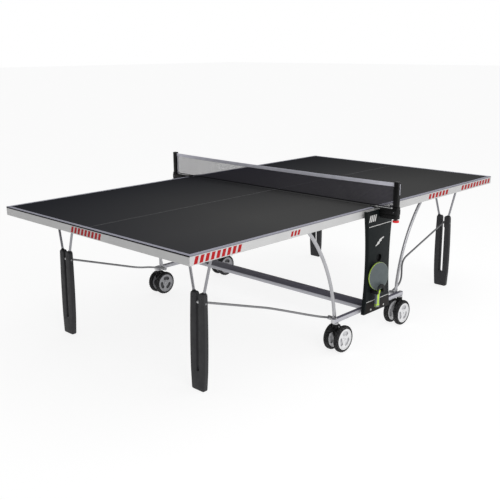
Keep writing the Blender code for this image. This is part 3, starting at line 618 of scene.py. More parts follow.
# ---------------------------------------------------------------- boards and frames
def make_board(side, sign):
    """Playing board: dark face, painted border and centre line, painted shade on the end edges and
    painted light on the long edges.
    """
    low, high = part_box(f"{side}_board")
    inner, outer = (high.x, low.x) if sign < 0 else (low.x, high.x)
    steps, border, half_line = 5, 0.02, 0.0015
    outline = []
    for x, y in ((inner, low.y), (outer, low.y), (outer, high.y), (inner, high.y)):
        radius = 0.0055 if x == outer else 0.002
        toward_x = copysign(radius, (inner + outer) / 2 - x)
        toward_y = copysign(radius, -y)
        quarter = [(x + toward_x * (1 - sin(a)), y + toward_y * (1 - cos(a)), low.z)
                   for a in (pi / 2 * step / steps for step in range(steps + 1))]
        outline += quarter if (x == outer) == (y < 0) else quarter[::-1]
    bm = bmesh.new()
    raise_face(bm, outline, (0, 0, high.z - low.z))
    rims = [edge for edge in bm.edges if abs(edge.verts[0].co.z - edge.verts[1].co.z) < 0.0001]
    bmesh.ops.bevel(bm, geom=rims, offset=0.0005, segments=2, profile=0.5, affect="EDGES")
    split_at(bm, (outer - sign * border, 0, 0), ALONG)
    for y in (low.y + border, high.y - border, half_line, -half_line):
        split_at(bm, (0, y, 0), ACROSS)
    bmesh.ops.recalc_face_normals(bm, faces=bm.faces)
    finishes = ("laminate", "line", "edge_painted_shade", "edge_painted_light", "underside", "centre_line")
    for face in bm.faces:
        middle = face.calc_center_median()
        # the end edges take the painted shade
        finish = "edge_painted_shade"
        if face.normal.z > 0.2:
            finish = "centre_line" if abs(middle.y) < half_line else "laminate"
            if (abs(middle.x - outer) < border or middle.y < low.y + border
                    or middle.y > high.y - border):
                finish = "line"
        elif face.normal.z < -0.5:
            finish = "underside"
        # the long edges take the painted light
        elif abs(face.normal.y) > 0.7:
            finish = "edge_painted_light"
        face.material_index = finishes.index(finish)
    assemble(f"{side}_playing_board", [from_bmesh(bm, *finishes)], f"{side}_half", "laminate",
             f"{side}_board")


def bar_mark(start, along, out, length, height, count):
    """A printed row of like slanted bars, as thin solid strips on a face."""
    thickness, gap_share, slant = 0.0002, 0.38, 0.33
    start, along, out = Vector(start), Vector(along), Vector(out)
    pitch = length / (count - gap_share)
    width = along * pitch * (1.0 - gap_share)
    lift = (Vector(UP) + along * slant) * height
    bm = bmesh.new()
    for number in range(count):
        foot = start + along * pitch * number
        raise_face(bm, (foot, foot + width, foot + width + lift, foot + lift), out * thickness)
    return from_bmesh(bm, "red_mark")


# places of the printed bars on the near face: x, z, length, height and count
NEAR_MARKS = {"left": ((-1.346, 0.7165, 0.285, 0.034, 9), (-0.712, 0.721, 0.066, 0.025, 3)),
              "right": ((0.565, 0.719, 0.225, 0.029, 6), (0.965, 0.719, 0.38, 0.029, 10))}


def dress_frame(side, sign):
    """The steel frame's paint, its end screws and its printed bars."""
    paint_node(f"{side}_frame", "apron", 0.0009, harden=True)
    low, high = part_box(f"{side}_frame")
    end = low.x if sign < 0 else high.x
    screws = [screw((end, far * (high.y - 0.01), z), (sign, 0, 0), 0.003, 0.0012)
              for far in ROWS.values() for z in (0.7225, 0.7445)]
    assemble(f"{side}_end_screws", screws, f"{side}_half", "zinc_steel")
    marks = [bar_mark((x, -high.y, z), ALONG, (0, -1, 0), length, height, count)
             for x, z, length, height, count in NEAR_MARKS[side]]
    if sign < 0:
        marks.append(bar_mark((end, 0.13, 0.7165), (0, -1, 0), (-1, 0, 0), 0.248, 0.032, 9))
    assemble(f"{side}_printed_bars", marks, f"{side}_half", "red_plastic")


# ---------------------------------------------------------------- legs, rods and arms
def make_leg_frame(side, sign, row, far):
    """Hinge tube with two slanted tubes, weld beads and grommets at the pad."""
    node = f"{row}_{side}_leg_frame"
    low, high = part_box(node)
    hinge = [(sign * LEG_X, low.y + (high.y - low.y) * step / 4, LEG_Z) for step in range(5)]
    pieces = [sweep(hinge, (0.009, 0.009, 2), "zinc", across=ALONG)]
    foot_z = PAD_TOP - 0.04
    bead = [(0.0068, -0.002), (0.009, -0.0012), (0.0092, 0.0004), (0.0074, 0.0022),
            (0.0069, 0.0024)]
    grommet = [(LEG_RADIUS, -0.006), (0.0088, -0.0055), (0.0092, -0.004), (0.0092, 0.003),
               (LEG_RADIUS, 0.0032)]
    for edge in EDGES:
        top = Vector((sign * LEG_X, far * LEG_Y + edge * LEG_SPREAD, LEG_Z))
        foot = Vector((sign * (PAD_FOOT_X - PAD_LEAN * foot_z), far * LEG_Y + edge * FOOT_SPREAD,
                       foot_z))
        along = (foot - top).normalized()
        pieces += [sweep([top + along * 0.004, top.lerp(foot, 0.5), foot],
                         (LEG_RADIUS, LEG_RADIUS, 2), "leg_tube", across=ALONG),
                   revolve(top + along * 0.0085, along, bead, "zinc", 20, ring=True),
                   revolve(top.lerp(foot, 0.857), along, grommet, "black", 20, ring=True)]
    assemble(f"{row}_{side}_leg_tubes", pieces, f"{side}_legs", "zinc_steel", node)


def pad_outline():
    right = [(0.036, 0.0), (0.0405, 0.0025), (0.0435, 0.008), (0.05, 0.1), (0.052, 0.18),
             (0.0525, 0.24), (0.0522, 0.31), (0.051, 0.38), (0.048, PAD_TOP - 0.016),
             (0.0468, PAD_TOP - 0.008), (0.044, PAD_TOP - 0.003), (0.039, PAD_TOP),
             (SLOT_HALF + 0.01, PAD_TOP), (SLOT_HALF + 0.0035, PAD_TOP - 0.0035),
             (SLOT_HALF, PAD_TOP - 0.012)]
    right += arc((0, SLOT_FLOOR + SLOT_HALF), SLOT_HALF, 0, -90, 6)
    return right + mirrored(right[:-1])


def make_leg_pad(side, sign, row, far):
    """Slotted plastic foot with rounded edges, tube screws and the heads of the rod's pin."""
    x, y = sign * PAD_FOOT_X, far * LEG_Y
    pad = plate([moved(pad_outline(), y)], "x", (x - PAD_HALF, x + PAD_HALF), 0.0032, "pad", 3)
    cut(pad, rounded_box((x - sign * (PAD_HALF + 0.01), y - 0.016, SLOT_FLOOR + 0.004),
                         (x - sign * 0.002, y + 0.016, ROD_PIN_Z - 0.03), 0.003, "pad"))
    bm = bmesh.new()
    bm.from_mesh(pad.data)
    bpy.data.objects.remove(pad, do_unlink=True)
    split_at(bm, (0, 0, 0.0065), UP)  # the upper edge of the sole
    pieces = [from_bmesh(bm, "pad")]
    pin_head = [(0.0052, -0.002), (0.0052, 0.0003), (0.0044, 0.001), (0.002, 0.0012), (0.0, 0.0012)]
    for edge in EDGES:
        pieces += [screw((x + facing * (PAD_HALF - 0.0004), y + edge * 0.031, 0.47),
                         (facing, 0, 0), 0.003, 0.0008, "black") for facing in EDGES]
        pieces.append(revolve((x, y + edge * 0.0493, ROD_PIN_Z), (0, edge, 0), pin_head, "rod", 20))
    lean = Matrix.Identity(4)
    lean[0][2] = -sign * PAD_LEAN
    for piece in pieces:
        piece.data.transform(lean)
    assemble(f"{row}_{side}_foot_pad", pieces, f"{side}_legs", "pad_plastic",
             f"{row}_{side}_leg_pad")


def make_leg_rod(side, sign, row, far):
    """Steering rod with a bush at the leg and a pressed eye at the chassis."""
    start = Vector((PAD_FOOT_X - PAD_LEAN * ROD_PIN_Z, ROD_PIN_Z))
    end = Vector((CHASSIS_X, CHASSIS_Z))
    bend_from, bend_length, steps = 0.54, 0.39, 24
    points = []
    for share in (0.0, *(bend_from + bend_length * step / steps for step in range(steps + 1)), 1.0):
        place = start.lerp(end, share)
        turned = eased(min(max((share - bend_from) / bend_length, 0.0), 1.0))
        points.append((sign * place.x, far * (LEG_Y + (ROD_FOOT_Y - LEG_Y) * turned), place.y))
    eye_start, eye_end = ROD_FOOT_Y - 0.008, 0.7242
    eye = (sign * CHASSIS_X, far * (eye_start + eye_end) / 2, CHASSIS_Z)
    pieces = [sweep(points, (ROD_RADIUS, ROD_RADIUS, 2), "rod", cap=0.0005),
              bush(points[0], 0.0035, 0.009, 0.008, 0.0006, "bolt"),
              bush(eye, 0.004, 0.012, (eye_end - eye_start) / 2, 0.0008)]
    assemble(f"{row}_{side}_steering_rod", pieces, f"{side}_rods", "zinc_steel",
             f"{row}_{side}_leg_rod")


def make_arm(side, sign, row, far):
    """Curved stay: round tube, eye at the half, pressed flat at its foot."""
    top, foot = Vector((ARM_X, ARM_Z)), Vector((CHASSIS_X, CHASSIS_Z))
    chord = foot - top
    normal = Vector((chord.y, -chord.x)).normalized()
    radius = (chord.length ** 2 / 4 + ARM_BULGE ** 2) / (2 * ARM_BULGE)
    half_angle = asin(chord.length / 2 / radius)
    centre = (top + foot) / 2 - normal * (radius - ARM_BULGE)
    steps, flat_length, ease_length = 48, 0.062, 0.022
    eye_radius, thin = 0.0135, 0.004
    points, halves = [], []
    for step in range(steps + 1):
        angle = half_angle * (2 * step / steps - 1)
        place = centre + normal * radius * cos(angle) + chord.normalized() * radius * sin(angle)
        flat = eased(min(max((flat_length - (place - foot).length) / ease_length, 0.0), 1.0))
        points.append((sign * place.x, far * (ARM_Y + 0.001 * flat), place.y))
        halves.append((ARM_RADIUS + (eye_radius - ARM_RADIUS) * flat,
                       ARM_RADIUS + (thin - ARM_RADIUS) * flat, 2.0 + 2.0 * flat))
    last = Vector(points[-1])
    along = (last - Vector(points[-2])).normalized()
    for share in (0.4, 0.7, 0.9):
        points.append(last + along * eye_radius * share)
        halves.append((eye_radius * sqrt(1 - share ** 2), thin, 4.0))
    pieces = [sweep(points[1:], halves[1:], "zinc", cap=0.0008),
              bush(points[0], 0.0062, eye_radius, ARM_RADIUS, 0.0009),
              screw((sign * (CHASSIS_X + 0.006), far * 0.7325, 0.2035), (0, far, 0), 0.0058, 0.004)]
    assemble(f"{row}_{side}_curved_stay", pieces, f"{side}_arms", "zinc_steel", f"{row}_{side}_arm")


# ---------------------------------------------------------------- chassis
def make_rail(row, far):
    """Rounded rail with pale end caps, caster nuts, side screws and panel spacers."""
    low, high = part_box(f"{row}_rail")
    inner, outer = far * (RAIL_Y - RAIL_WIDTH / 2), far * (RAIL_Y + RAIL_WIDTH / 2)
    cap_lip, spacer_end = 0.0008, FOLD_X - 0.0123
    rail = rounded_box((0.002 - high.x, inner, low.z), (high.x - 0.002, outer, high.z), 0.0032,
                       "silver")
    # painted shade on the rail's upward faces
    pieces = [paint_shade_on_top(rail, "silver_painted_shade")]
    nut_ring = [(0.0045, 0.0), (0.01, 0.0), (0.01, 0.0012), (0.0092, 0.0018), (0.0045, 0.0018)]
    stem_end = [(0.0046, 0.0), (0.0046, 0.003), (0.003, 0.0042), (0.0, 0.0044)]
    for sign in SIDES.values():
        stem = (sign * CASTER_X, far * RAIL_Y, high.z)
        pieces += [rounded_box((sign * (high.x - 0.004), inner + far * cap_lip, low.z + cap_lip),
                        (sign * high.x, outer - far * cap_lip, high.z - cap_lip), 0.0015, "hub"),
            revolve(stem, UP, nut_ring, "bolt", 28, ring=True),
            revolve(stem, UP, stem_end, "black", 20),
            screw((sign * 0.222, outer, 0.1745), (0, far, 0), 0.0042, 0.0018, "zinc"),
            rounded_box((sign * (spacer_end - 0.02), far * 0.75, 0.176),
                        (sign * spacer_end, far * 0.7967, 0.1895), 0.0015, "silver")]
    assemble(f"{row}_chassis_rail", pieces, "chassis", "silver_paint", f"{row}_rail")


def make_beam():
    """Wide flat tube between the rails, with welded end plates and screws."""
    low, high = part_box("cross_beam")
    # painted shade on the beam's upward faces
    pieces = [paint_shade_on_top(rounded_box(low, high, 0.0035, "silver", 4), "silver_painted_shade")]
    for far in ROWS.values():
        for sign in SIDES.values():
            pieces += [
                screw((sign * high.x, far * 0.655, 0.179), (sign, 0, 0), 0.004, 0.0015, "zinc"),
                rounded_box((sign * (high.x - 0.004), far * (high.y - 0.0035), low.z + 0.002),
                            (sign * (high.x + 0.0022), far * high.y, high.z - 0.002), 0.001,
                            "silver")]
    assemble("chassis_cross_beam", pieces, "chassis", "silver_paint", "cross_beam")


def panel_outline(inset, top=PANEL_TOP):
    """The waisted shape of a side panel, drawn in by inset at its foot and sides."""
    middle, reach = (PANEL_TOP + PANEL_BOTTOM) / 2, (PANEL_TOP - PANEL_BOTTOM) / 2
    waist_half, flare, steps = 0.104, 0.023, 28
    bottom = PANEL_BOTTOM + inset
    ups = [bottom + (top - bottom) * step / steps for step in range(steps + 1)]
    right = [(waist_half + flare * ((up - middle) / reach) ** 2 - inset, up) for up in ups]
    return right + mirrored(right)


def print_on(far, outline, thickness, material="white_mark"):
    face = far * PANEL_FACE
    return plate([outline], "y", (face, face + far * thickness), thickness * 0.3, material, 1)


def panel_print(far):
    """Two lines, a dark foot zone, four slanted blocks and three stripes."""
    line_depth = 0.0003
    pieces = [print_on(far, rectangle(*corners), line_depth)
              for corners in (((-0.105, 0.6655), (0.102, 0.669)),
                              ((-0.107, 0.237), (0.107, 0.2402)))]
    zone = [(x * 0.95, z) for x, z in panel_outline(0.006, 0.2345)]
    pieces.append(print_on(far, rounded_outline(zone, 0.003, 2), 0.0002, "panel_foot"))
    low, high, width, slant = 0.694, 0.73, 0.0095, 0.011
    for number in range(4):
        x = -0.108 + 0.0165 * number
        block = [(x, low), (x + width, low), (x + width + slant, high), (x + slant, high)]
        pieces.append(print_on(far, [(-far * a, b) for a, b in block], line_depth))
    lean = 0.02
    for x, z, length in ((-0.04, 0.548, 0.052), (-0.026, 0.561, 0.06), (-0.008, 0.5745, 0.062)):
        stripe = [(x, z), (x + length * 0.75, z + lean * 0.6), (x + length * 0.78, z + lean),
                  (x + 0.006, z + lean * 0.45)]
        stripe = rounded_outline([(-far * a, b) for a, b in stripe], 0.004)
        pieces.append(print_on(far, stripe, line_depth))
    return pieces


def bat_loop(far):
    """Rounded arch in front of the bat's neck, on two lugs."""
    middle, height, front = far * 0.04, 0.303, far * 0.85
    outer, inner, foot = 0.04, 0.022, height - 0.013
    outline = [(outer, foot), *arc((0, height), outer, 0, 180, 24), (-outer, foot),
               (-inner, foot), *arc((0, height), inner, 180, 0, 24), (inner, foot)]
    arch = plate([moved(outline, middle)], "y", (front - far * 0.004, front), 0.0012, "black")
    lugs = [rounded_box((middle + edge * (inner + 0.004), front - far * 0.003, foot + 0.001),
                        (middle + edge * (outer - 0.003), far * (PANEL_FACE - 0.001),
                         height + 0.005), 0.0015, "black") for edge in EDGES]
    return [arch, *lugs]


def make_side_panel(row, far):
    """Waisted cover: rounded shell, ball cup with a lip, print, arch for the bat."""
    face, outward, behind = far * PANEL_FACE, (0, far, 0), far * (PANEL_BACK - 0.03)
    shell = plate([rounded_outline(panel_outline(0.0), 0.006, 2)], "y",
                  (far * (PANEL_BACK - 0.012), face), 0.0045, "panel", 3)
    back_cut = rounded_box((-0.2, behind, 0.1), (0.2, far * PANEL_BACK, 0.8), 0.0001, "panel", 1)
    recess = plate([panel_outline(0.003, 0.775)], "y", (behind, far * (PANEL_FACE - 0.003)), 0.001,
                   "panel")
    cup_radius, cup_depth = 0.0212, 0.0187
    hole = revolve((0, far * (PANEL_FACE - 0.006), BALL_Z), outward,
                   [(0.0, -0.01), (0.0215, -0.01), (0.0215, 0.012), (0.0, 0.012)], "panel", 40)
    cup = [(cup_radius, -0.001), (0.0238, -0.001), (0.0238, -cup_depth - 0.0024),
           (0.0, -cup_depth - 0.0026), (0.0, -cup_depth), (0.012, 0.001 - cup_depth),
           (0.0195, 0.005 - cup_depth), (cup_radius, 0.01 - cup_depth)]
    lip = [(cup_radius, -0.0012), (cup_radius, 0.0006), (0.0222, 0.0013), (0.0242, 0.0013),
           (0.0254, 0.0004), (0.0256, -0.0006)]
    pieces = [cut(shell, back_cut, recess, hole),
              revolve((0, face, BALL_Z), outward, cup, "black", 40, ring=True),
              revolve((0, face, BALL_Z), outward, lip, "panel", 48, ring=True)]
    pieces += panel_print(far)
    pieces += [screw((sign * 0.0625, face + far * 0.0002, 0.1885), outward, 0.0052, 0.0022,
                     "white_mark") for sign in SIDES.values()]
    assemble(f"{row}_panel_cover", pieces + bat_loop(far), "chassis", "panel_plastic",
             f"{row}_side_panel")


# ---------------------------------------------------------------- net
def make_bracket(row, far):
    """Clamp block with a rounded outer end, a rubber-lined tongue, a collar and screws."""
    start, end, half, corner = far * 0.8022, far * 0.915, 0.022, 0.014
    lower = rectangle((0.0015 - half, start + far * 0.001), (half - 0.0015, end - far * 0.0015))
    collar = rectangle((-COLLAR_HALF, far * (POST_Y - COLLAR_HALF)),
                       (COLLAR_HALF, far * (POST_Y + COLLAR_HALF)))
    pieces = [plate([rounded_outline(lower, corner, 8)], "z", (0.711, 0.7345), 0.003, "black", 3),
        plate([rounded_outline(rectangle((-half, start), (half, end)), corner, 8)], "z",
              (0.734, 0.764), 0.004, "black", 3),
        rounded_box((-0.014, far * 0.736, 0.7622), (0.014, far * 0.879, 0.7664), 0.0016, "black"),
        rounded_box((-0.0125, far * 0.764, 0.7655), (0.0125, far * 0.876, 0.767), 0.0006, "bolt",
                    2),
        rounded_box((-0.0125, far * 0.7375, 0.7608), (0.0125, far * 0.8, 0.7624), 0.0004, "tyre",
                    2),
        plate([rounded_outline(collar, 0.006, 6)], "z", (0.76, 0.7765), 0.0022, "black")]
    pieces += [screw((sign * (half - 0.0006), far * 0.893, 0.75), (sign, 0, 0), 0.0042, 0.0006,
                     "zinc") for sign in SIDES.values()]
    assemble(f"{row}_clamp", pieces, "chassis", "black_plastic", f"{row}_net_bracket")


def make_post(row, far):
    """Net post with a grooved face, a domed cap and the pale tail of the tape."""
    low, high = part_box(f"{row}_net_post")
    inset = 0.0006
    body = rounded_box((low.x + inset, low.y + inset, low.z),
                       (high.x - inset, high.y - inset, high.z - 0.004), 0.0028, "black")
    groove = rounded_box((-0.0022, far * (POST_Y + 0.0125), low.z + 0.016),
                         (0.0022, far * (POST_Y + 0.018), high.z - 0.022), 0.0008, "black", 2)
    cap = rounded_box((low.x, low.y, high.z - 0.011), high, 0.0035, "black", 4)
    tail = rounded_box((0.0045, far * (POST_Y + 0.013), high.z - 0.072),
                       (0.008, far * (POST_Y + 0.01445), high.z - 0.012), 0.0006, "tape", 2)
    assemble(f"{row}_post", [cut(body, groove), cap, tail], "chassis", "black_plastic",
             f"{row}_net_post")


def tape_sag(y):
    """How far the tape hangs below its ends."""
    return 0.0062 * (1.0 - (y / 0.884) ** 2)


def net_grid(low, high):
    """Crossed flat threads that leave open meshes, woven over and under."""
    columns, rows, reach, bottom = 235, 16, high.y - 0.002, low.z + 0.005
    bm = bmesh.new()
    grid = []
    for column in range(columns + 1):
        for side in (-0.5, 0.5):
            y = -reach + 2 * reach * column / columns + side * NET_THREAD
            top = high.z - 0.002 - tape_sag(y)
            line = []
            for row in range(rows + 1):
                weave = 0.0004 * (-1) ** (column + row)
                z = bottom + (top - bottom) * row / rows
                line += [bm.verts.new((weave, y, z + rim * NET_THREAD)) for rim in (-0.5, 0.5)]
            grid.append(line)
    for across in range(2 * columns + 1):
        for up in range(2 * rows + 1):
            if across % 2 == 0 or up % 2 == 0:
                here, there = grid[across], grid[across + 1]
                bm.faces.new((here[up], there[up], there[up + 1], here[up + 1]))
    net = from_bmesh(bm, "net")
    depth = net.modifiers.new("depth", "SOLIDIFY")
    depth.thickness = 0.0008
    depth.offset = 0.0
    return baked(net)


def folded_strip(ys, folds, depth, half, direction, material):
    """A strip of cloth folded over lengthwise; direction -1 hangs it down from the heights
    of its fold, 1 turns it up."""
    bend, leg = half - CLOTH, half - depth
    section = arc((0, 0), half, 0, 180, 8)
    inside = arc((0, 0), bend, 180, 0, 8)
    outline = [(half, leg), *section, (-half, leg), (-bend, leg), *inside, (bend, leg)]
    bm = bmesh.new()
    loops = [[bm.verts.new((x, y, fold + direction * (half - z))) for x, z in outline]
             for y, fold in zip(ys, folds)]
    return skin(bm, loops, material)


def tape_stitches(low, high):
    """Two rows of stitches, one on each face of the tape."""
    count, margin = 640, 0.003
    threads = []
    for face in EDGES:
        points = []
        for step in range(count + 1):
            y = low.y + margin + (high.y - low.y - 2 * margin) * step / count
            wave = sin(step * pi / 2 + pi / 4)
            points.append((face * (0.00255 + 0.00022 * wave), y, high.z - 0.017 - tape_sag(y)))
        threads.append(sweep(points, (0.00028, 0.00028, 2), "thread", ALONG, 4, 0.0001))
    return threads


def make_net():
    """Net of threads with a folded tape, a dark hem and a sleeve at each end."""
    low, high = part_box("net")
    tape_low, tape_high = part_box("net_tape")
    steps = 90
    ys = [tape_low.y + (tape_high.y - tape_low.y) * step / steps for step in range(steps + 1)]
    inner_ys = [y for y in ys if low.y < y < high.y]
    folds = [tape_high.z - tape_sag(y) for y in ys]
    sleeves = [rounded_box((-0.0014, far * (high.y - 0.0055), low.z),
                           (0.0014, far * high.y, high.z - 0.0006), 0.0006, material, 2)
               for far, material in ((-1, "hem"), (1, "tape"))]
    net = assemble("net_mesh", [net_grid(low, high)], "chassis", "net_fabric", "net")
    tape = assemble("tape_band", [folded_strip(ys, folds, 0.02, 0.0027, -1, "tape")], "chassis",
                    "tape_fabric", "net_tape")
    hem_strip = folded_strip(inner_ys, [low.z] * len(inner_ys), 0.0062, 0.00135, 1, "hem")
    hem = assemble("net_hem", [hem_strip], "chassis", "net_fabric")
    seam = assemble("tape_stitches", tape_stitches(tape_low, tape_high), "chassis", "tape_fabric")
    sleeves = assemble("net_sleeves", sleeves, "chassis", "tape_fabric")


def make_knob(row, far):
    """Ribbed thumb wheel on a threaded screw."""
    low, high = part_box(f"{row}_tension_knob")
    lobes, steps = 14, 112
    outline = []
    for angle in (2 * pi * step / steps for step in range(steps)):
        radius = 0.0171 + 0.0007 * cos(lobes * angle)
        outline.append((radius * cos(angle), far * POST_Y + radius * sin(angle)))
    pitch, bottom, root, crest = 0.0015, low.z + 0.0118, 0.005, 0.0059
    thread = [(0.0, bottom)]
    for turn in range(int((high.z - bottom) / pitch)):
        thread += [(root, bottom + turn * pitch), (crest, bottom + (turn + 0.5) * pitch)]
    thread += [(root, high.z), (0.0, high.z)]
    pieces = [plate([outline], "z", (low.z, low.z + 0.012), 0.0018, "red"),
              revolve((0, far * POST_Y, 0), UP, thread, "zinc", 24)]
    assemble(f"{row}_thumb_wheel", pieces, f"{row}_knob", "red_plastic", f"{row}_tension_knob")


# ---------------------------------------------------------------- casters
def bean(radius, half_width, middle, half_span):
    """Outline of a rounded slot that follows a circle about the origin, angles in degrees."""
    start, end = middle - half_span, middle + half_span

    def cap(angle, first):
        centre = arc((0, 0), radius, angle, angle, 1)[0]
        return arc(centre, half_width, first, first + 180, 6)[1:-1]

    return (arc((0, 0), radius + half_width, start, end, 8) + cap(end, end)
            + arc((0, 0), radius - half_width, end, start, 8) + cap(start, start + 180))


def treaded(step, radius):
    """Cuts every second pair of points round the tyre's tread into a groove."""
    return radius - 0.0026 if step % 4 > 1 and radius > WHEEL_RADIUS - 0.004 else radius


def make_wheel(name, node, hub, web):
    """Treaded tyre round a dished hub with three rounded openings."""
    low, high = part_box(node)
    centre = (low + high) / 2
    half = (high.y - low.y) / 2
    blocks, bore = 30, 0.0062
    shoulder = [(0.059, half), (0.064, half), (0.0685, half - 0.001),
                (WHEEL_RADIUS - 0.0032, half - 0.0034), (WHEEL_RADIUS - 0.0008, half - 0.0062),
                (WHEEL_RADIUS, half - 0.009), (WHEEL_RADIUS, 0.0014),
                (WHEEL_RADIUS - 0.0042, 0.001)]
    profile = shoulder + [(radius, -height) for radius, height in reversed(shoulder)]
    profile += [(0.0575, 0.0012 - half), (0.0575, half - 0.0012)]
    pieces = [revolve(centre, ACROSS, profile, "tyre", blocks * 4, ring=True, shape=treaded)]
    outlines = [arc((0, 0), 0.0572, 0, 360 - 7.5, 47)]
    outlines += [bean(0.0335, 0.0112, angle, 23.0) for angle in (78.0, 198.0, 318.0)]
    outlines = [moved(outline, centre.x, centre.z) for outline in outlines]
    rim = [(0.0535, half - 0.0036), (0.0545, half - 0.001), (0.0562, half - 0.0004),
           (0.059, half - 0.0006), (0.0592, half - 0.004), (0.054, half - 0.006)]
    boss = [(0.0165, half - 0.0045), (0.016, half - 0.0018), (0.014, half - 0.0006),
            (0.0095, half - 0.0003), (0.0085, half - 0.0012), (bore, half - 0.0012),
            (bore, half - 0.005)]
    for face in EDGES:
        front = centre.y + face * (half - 0.0032)
        pieces += [plate(outlines, "y", (front - face * 0.0036, front), 0.0013, hub),
                   revolve(centre, (0, face, 0), rim, hub, 56, ring=True),
                   revolve(centre, (0, face, 0), boss, hub, 40, ring=True)]
    barrel = [(0.0576, 0.006), (0.02, 0.005), (bore, 0.005), (bore, -0.005), (0.02, -0.005),
              (0.0576, -0.006)]
    pieces.append(revolve(centre, ACROSS, barrel, web, 40, ring=True))
    assemble(name, pieces, node, "tyre_rubber", node)


def make_caster_fork(label, sign, far):
    """Swivel body between the wheels: cheeks, crown with bearing rings, axle and spacers."""
    x, y = sign * CASTER_X, far * CASTER_Y
    axle, head = Vector((x - sign * CASTER_TRAIL, WHEEL_RADIUS)), Vector((x, 0.134))
    heading = (head - axle).normalized()
    start = degrees(atan2(heading.x, -heading.y))
    outline = arc(axle, 0.0235, start, start + 180, 16) + arc(head, 0.0175, start + 180,
                                                              start + 360, 16)
    waist = [(axle.x + (across - axle.x) * 0.86, axle.y + (up - axle.y) * 0.9)
             for across, up in outline]
    crown = [(0.0, 0.128), (0.015, 0.128), (0.0172, 0.13), (0.0172, 0.148), (0.016, 0.15),
             (0.016, 0.152), (0.0172, 0.1535), (0.0172, 0.159), (0.012, 0.16),
             (0.012, 0.164), (0.0, 0.164)]
    bearing = [(0.012, 0.16), (0.0165, 0.1603), (0.0172, 0.162), (0.0172, 0.165),
               (0.016, 0.1665), (0.0, 0.1666), (0.0, 0.1602)]
    reach = 0.0475
    bolt = [(0.0, -reach), (0.004, -reach), (0.0056, 0.0014 - reach), (0.0056, reach - 0.0014),
            (0.004, reach), (0.0, reach)]
    spacer = [(0.0058, 0.0108), (0.0135, 0.0108), (0.0135, 0.0172), (0.012, 0.0182),
              (0.0058, 0.0182)]
    hub = (axle.x, y, axle.y)
    pieces = [plate([outline], "y", (y + edge * 0.0038, y + edge * 0.0108), 0.0018, "black")
              for edge in EDGES]
    pieces += [plate([waist], "y", (y - 0.0045, y + 0.0045), 0.0006, "black"),
               revolve((x, y, 0.0), UP, crown, "black"), revolve((x, y, 0.0), UP, bearing, "bolt"),
               revolve(hub, ACROSS, bolt, "bolt", 24)]
    pieces += [revolve(hub, (0, edge, 0), spacer, "bolt", 28, ring=True) for edge in EDGES]
    assemble(f"{label}_swivel", pieces, f"{label}_caster", "black_plastic", f"{label}_caster_fork")


def make_pedal(label, sign):
    """Brake pedal with a ribbed tread."""
    node = f"{label}_brake_pedal"
    low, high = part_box(node)
    x, y = sign * CASTER_X, (low.y + high.y) / 2
    pin, tip = Vector((x + sign * 0.0225, 0.138)), Vector((x + sign * 0.066, 0.128))
    along = (tip - pin).normalized()
    up = sign * Vector((-along.y, along.x))
    start = degrees(atan2(up.y, up.x))
    outline = (arc(pin, 0.0043, start, start + sign * 180, 10)
               + arc(tip, 0.0029, start + sign * 180, start + sign * 360, 10))
    pieces = [plate([outline], "y", (low.y, high.y), 0.0012, "black")]
    for number in range(5):
        rib = pin.lerp(tip, 0.52 + 0.1 * number) + up * 0.0034
        pieces.append(rounded_box((rib.x - 0.0009, y - 0.011, rib.y - 0.0014),
                                  (rib.x + 0.0009, y + 0.011, rib.y + 0.0003), 0.0003, "tyre", 2))
    assemble(f"{label}_foot_brake", pieces, f"{label}_brake", "black_plastic", node)


def make_lever(side, sign):
    """Release paddle with finger ribs on a hinge barrel."""
    pin_x, pin_z = sign * 1.338, 0.7245
    barrel = [(0.0, -0.065), (0.0055, -0.065), (0.0065, -0.064), (0.0065, 0.064), (0.0055, 0.065),
              (0.0, 0.065)]
    pieces = [rounded_box((sign * 1.276, -0.055, pin_z - 0.004), (pin_x, 0.055, pin_z + 0.003),
                          0.0016, "black"), revolve((pin_x, 0, pin_z), ACROSS, barrel, "black", 24)]
    for x in (sign * (1.282 + 0.006 * number) for number in range(4)):
        pieces.append(rounded_box((x - 0.0011, -0.046, pin_z + 0.002),
                                  (x + 0.0011, 0.046, pin_z + 0.0042), 0.0005, "tyre", 2))
    assemble(f"{side}_paddle", pieces, f"{side}_lever", "black_plastic", f"{side}_release_lever")


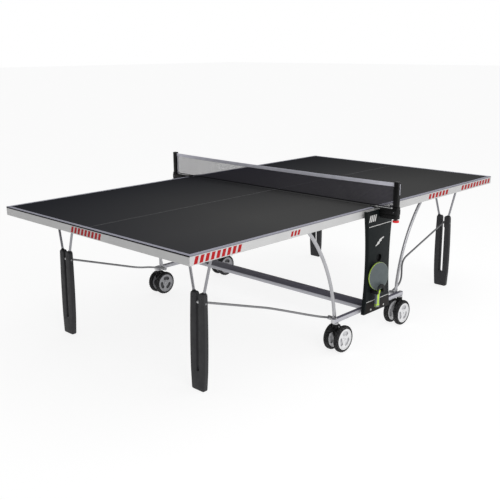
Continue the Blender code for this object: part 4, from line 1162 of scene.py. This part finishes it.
# ---------------------------------------------------------------- bat
def make_bat():
    """Round bat: lime core, grey rubbers with a pale rim, two-tone handle."""
    turn = (Matrix.Translation((-0.036, -0.826, 0.384)) @ Matrix.Rotation(radians(-14.0), 4, "Z")
            @ Matrix.Rotation(radians(1.5), 4, "Y"))
    wide, tall = 0.07, 0.0795

    def blade(shrink, back, front, rounding, material):
        angles = [2 * pi * step / 72 for step in range(72)]
        outline = [((wide - shrink) * cos(a), (tall - shrink) * sin(a)) for a in angles]
        return plate([outline], "y", (back, front), rounding, material)

    faces = [blade(0.0, -0.0036, 0.0036, 0.0008, "lime")]
    for face in EDGES:
        faces += [blade(0.0004, face * 0.0034, face * 0.0044, 0.0003, "bat_rim"),
                  blade(0.0026, face * 0.0042, face * 0.005, 0.0003, "bat_rubber")]
    side = [(0.0125, -0.178), (0.0119, -0.15), (0.0112, -0.11), (0.013, -0.094), (0.0165, -0.0815)]
    handle = [plate([side + mirrored(side)], "y", (-0.0085, 0.0085), 0.003, "lime", 3)]
    for edge in EDGES:
        grip = [(edge * across, up) for across, up in (
            (0.0045, -0.16), (0.0125, -0.163), (0.0116, -0.112), (0.0128, -0.097), (0.0062, -0.1))]
        handle.append(plate([rounded_outline(grip, 0.002, 3)], "y", (-0.0089, 0.0089), 0.0022,
                            "grip"))
    end_cap = [(-0.0125, -0.178), (0.0125, -0.178), (0.0124, -0.167), (-0.0124, -0.167)]
    handle.append(plate([rounded_outline(end_cap, 0.003, 3)], "y", (-0.0088, 0.0088), 0.0026,
                        "bat_rim"))
    for piece in faces + handle:
        piece.data.transform(turn)
    assemble("bat_face", faces, "bat", "bat_rubber", "bat_blade")
    assemble("bat_grip", handle, "bat", "bat_grip", "bat_handle")


# ---------------------------------------------------------------- assembly
def make_corner(side, sign, row, far):
    """What each corner of the table has: track, pin, stay, leg, rod and caster."""
    label = f"{row}_{side}"
    paint_node(f"{label}_guide_track", "zinc")
    paint_node(f"{label}_fold_pin", "bolt")
    for make in (make_arm, make_leg_frame, make_leg_pad, make_leg_rod):
        make(side, sign, row, far)
    make_caster_fork(label, sign, far)
    # the far wheels take the painted-shade copies of the hub and web
    hub, web = ("hub", "web") if far < 0 else ("hub_painted_shade", "web_painted_shade")
    for place in ("inner", "outer"):
        make_wheel(f"{label}_{place}_tyre_and_hub", f"{label}_{place}_wheel", hub, web)


def main():
    make_camera()
    make_studio()
    make_board_finishes()
    make_metal_finishes()
    make_plastic_finishes()
    make_bat_and_net_finishes()
    make_beam()
    make_net()
    make_bat()
    for row, far in ROWS.items():
        for make in (make_rail, make_side_panel, make_bracket, make_post, make_knob):
            make(row, far)
    for side, sign in SIDES.items():
        for make in (make_board, dress_frame, make_lever):
            make(side, sign)
        for row, far in ROWS.items():
            make_corner(side, sign, row, far)
    make_pedal("near_left", -1)
    make_pedal("far_right", 1)


main()
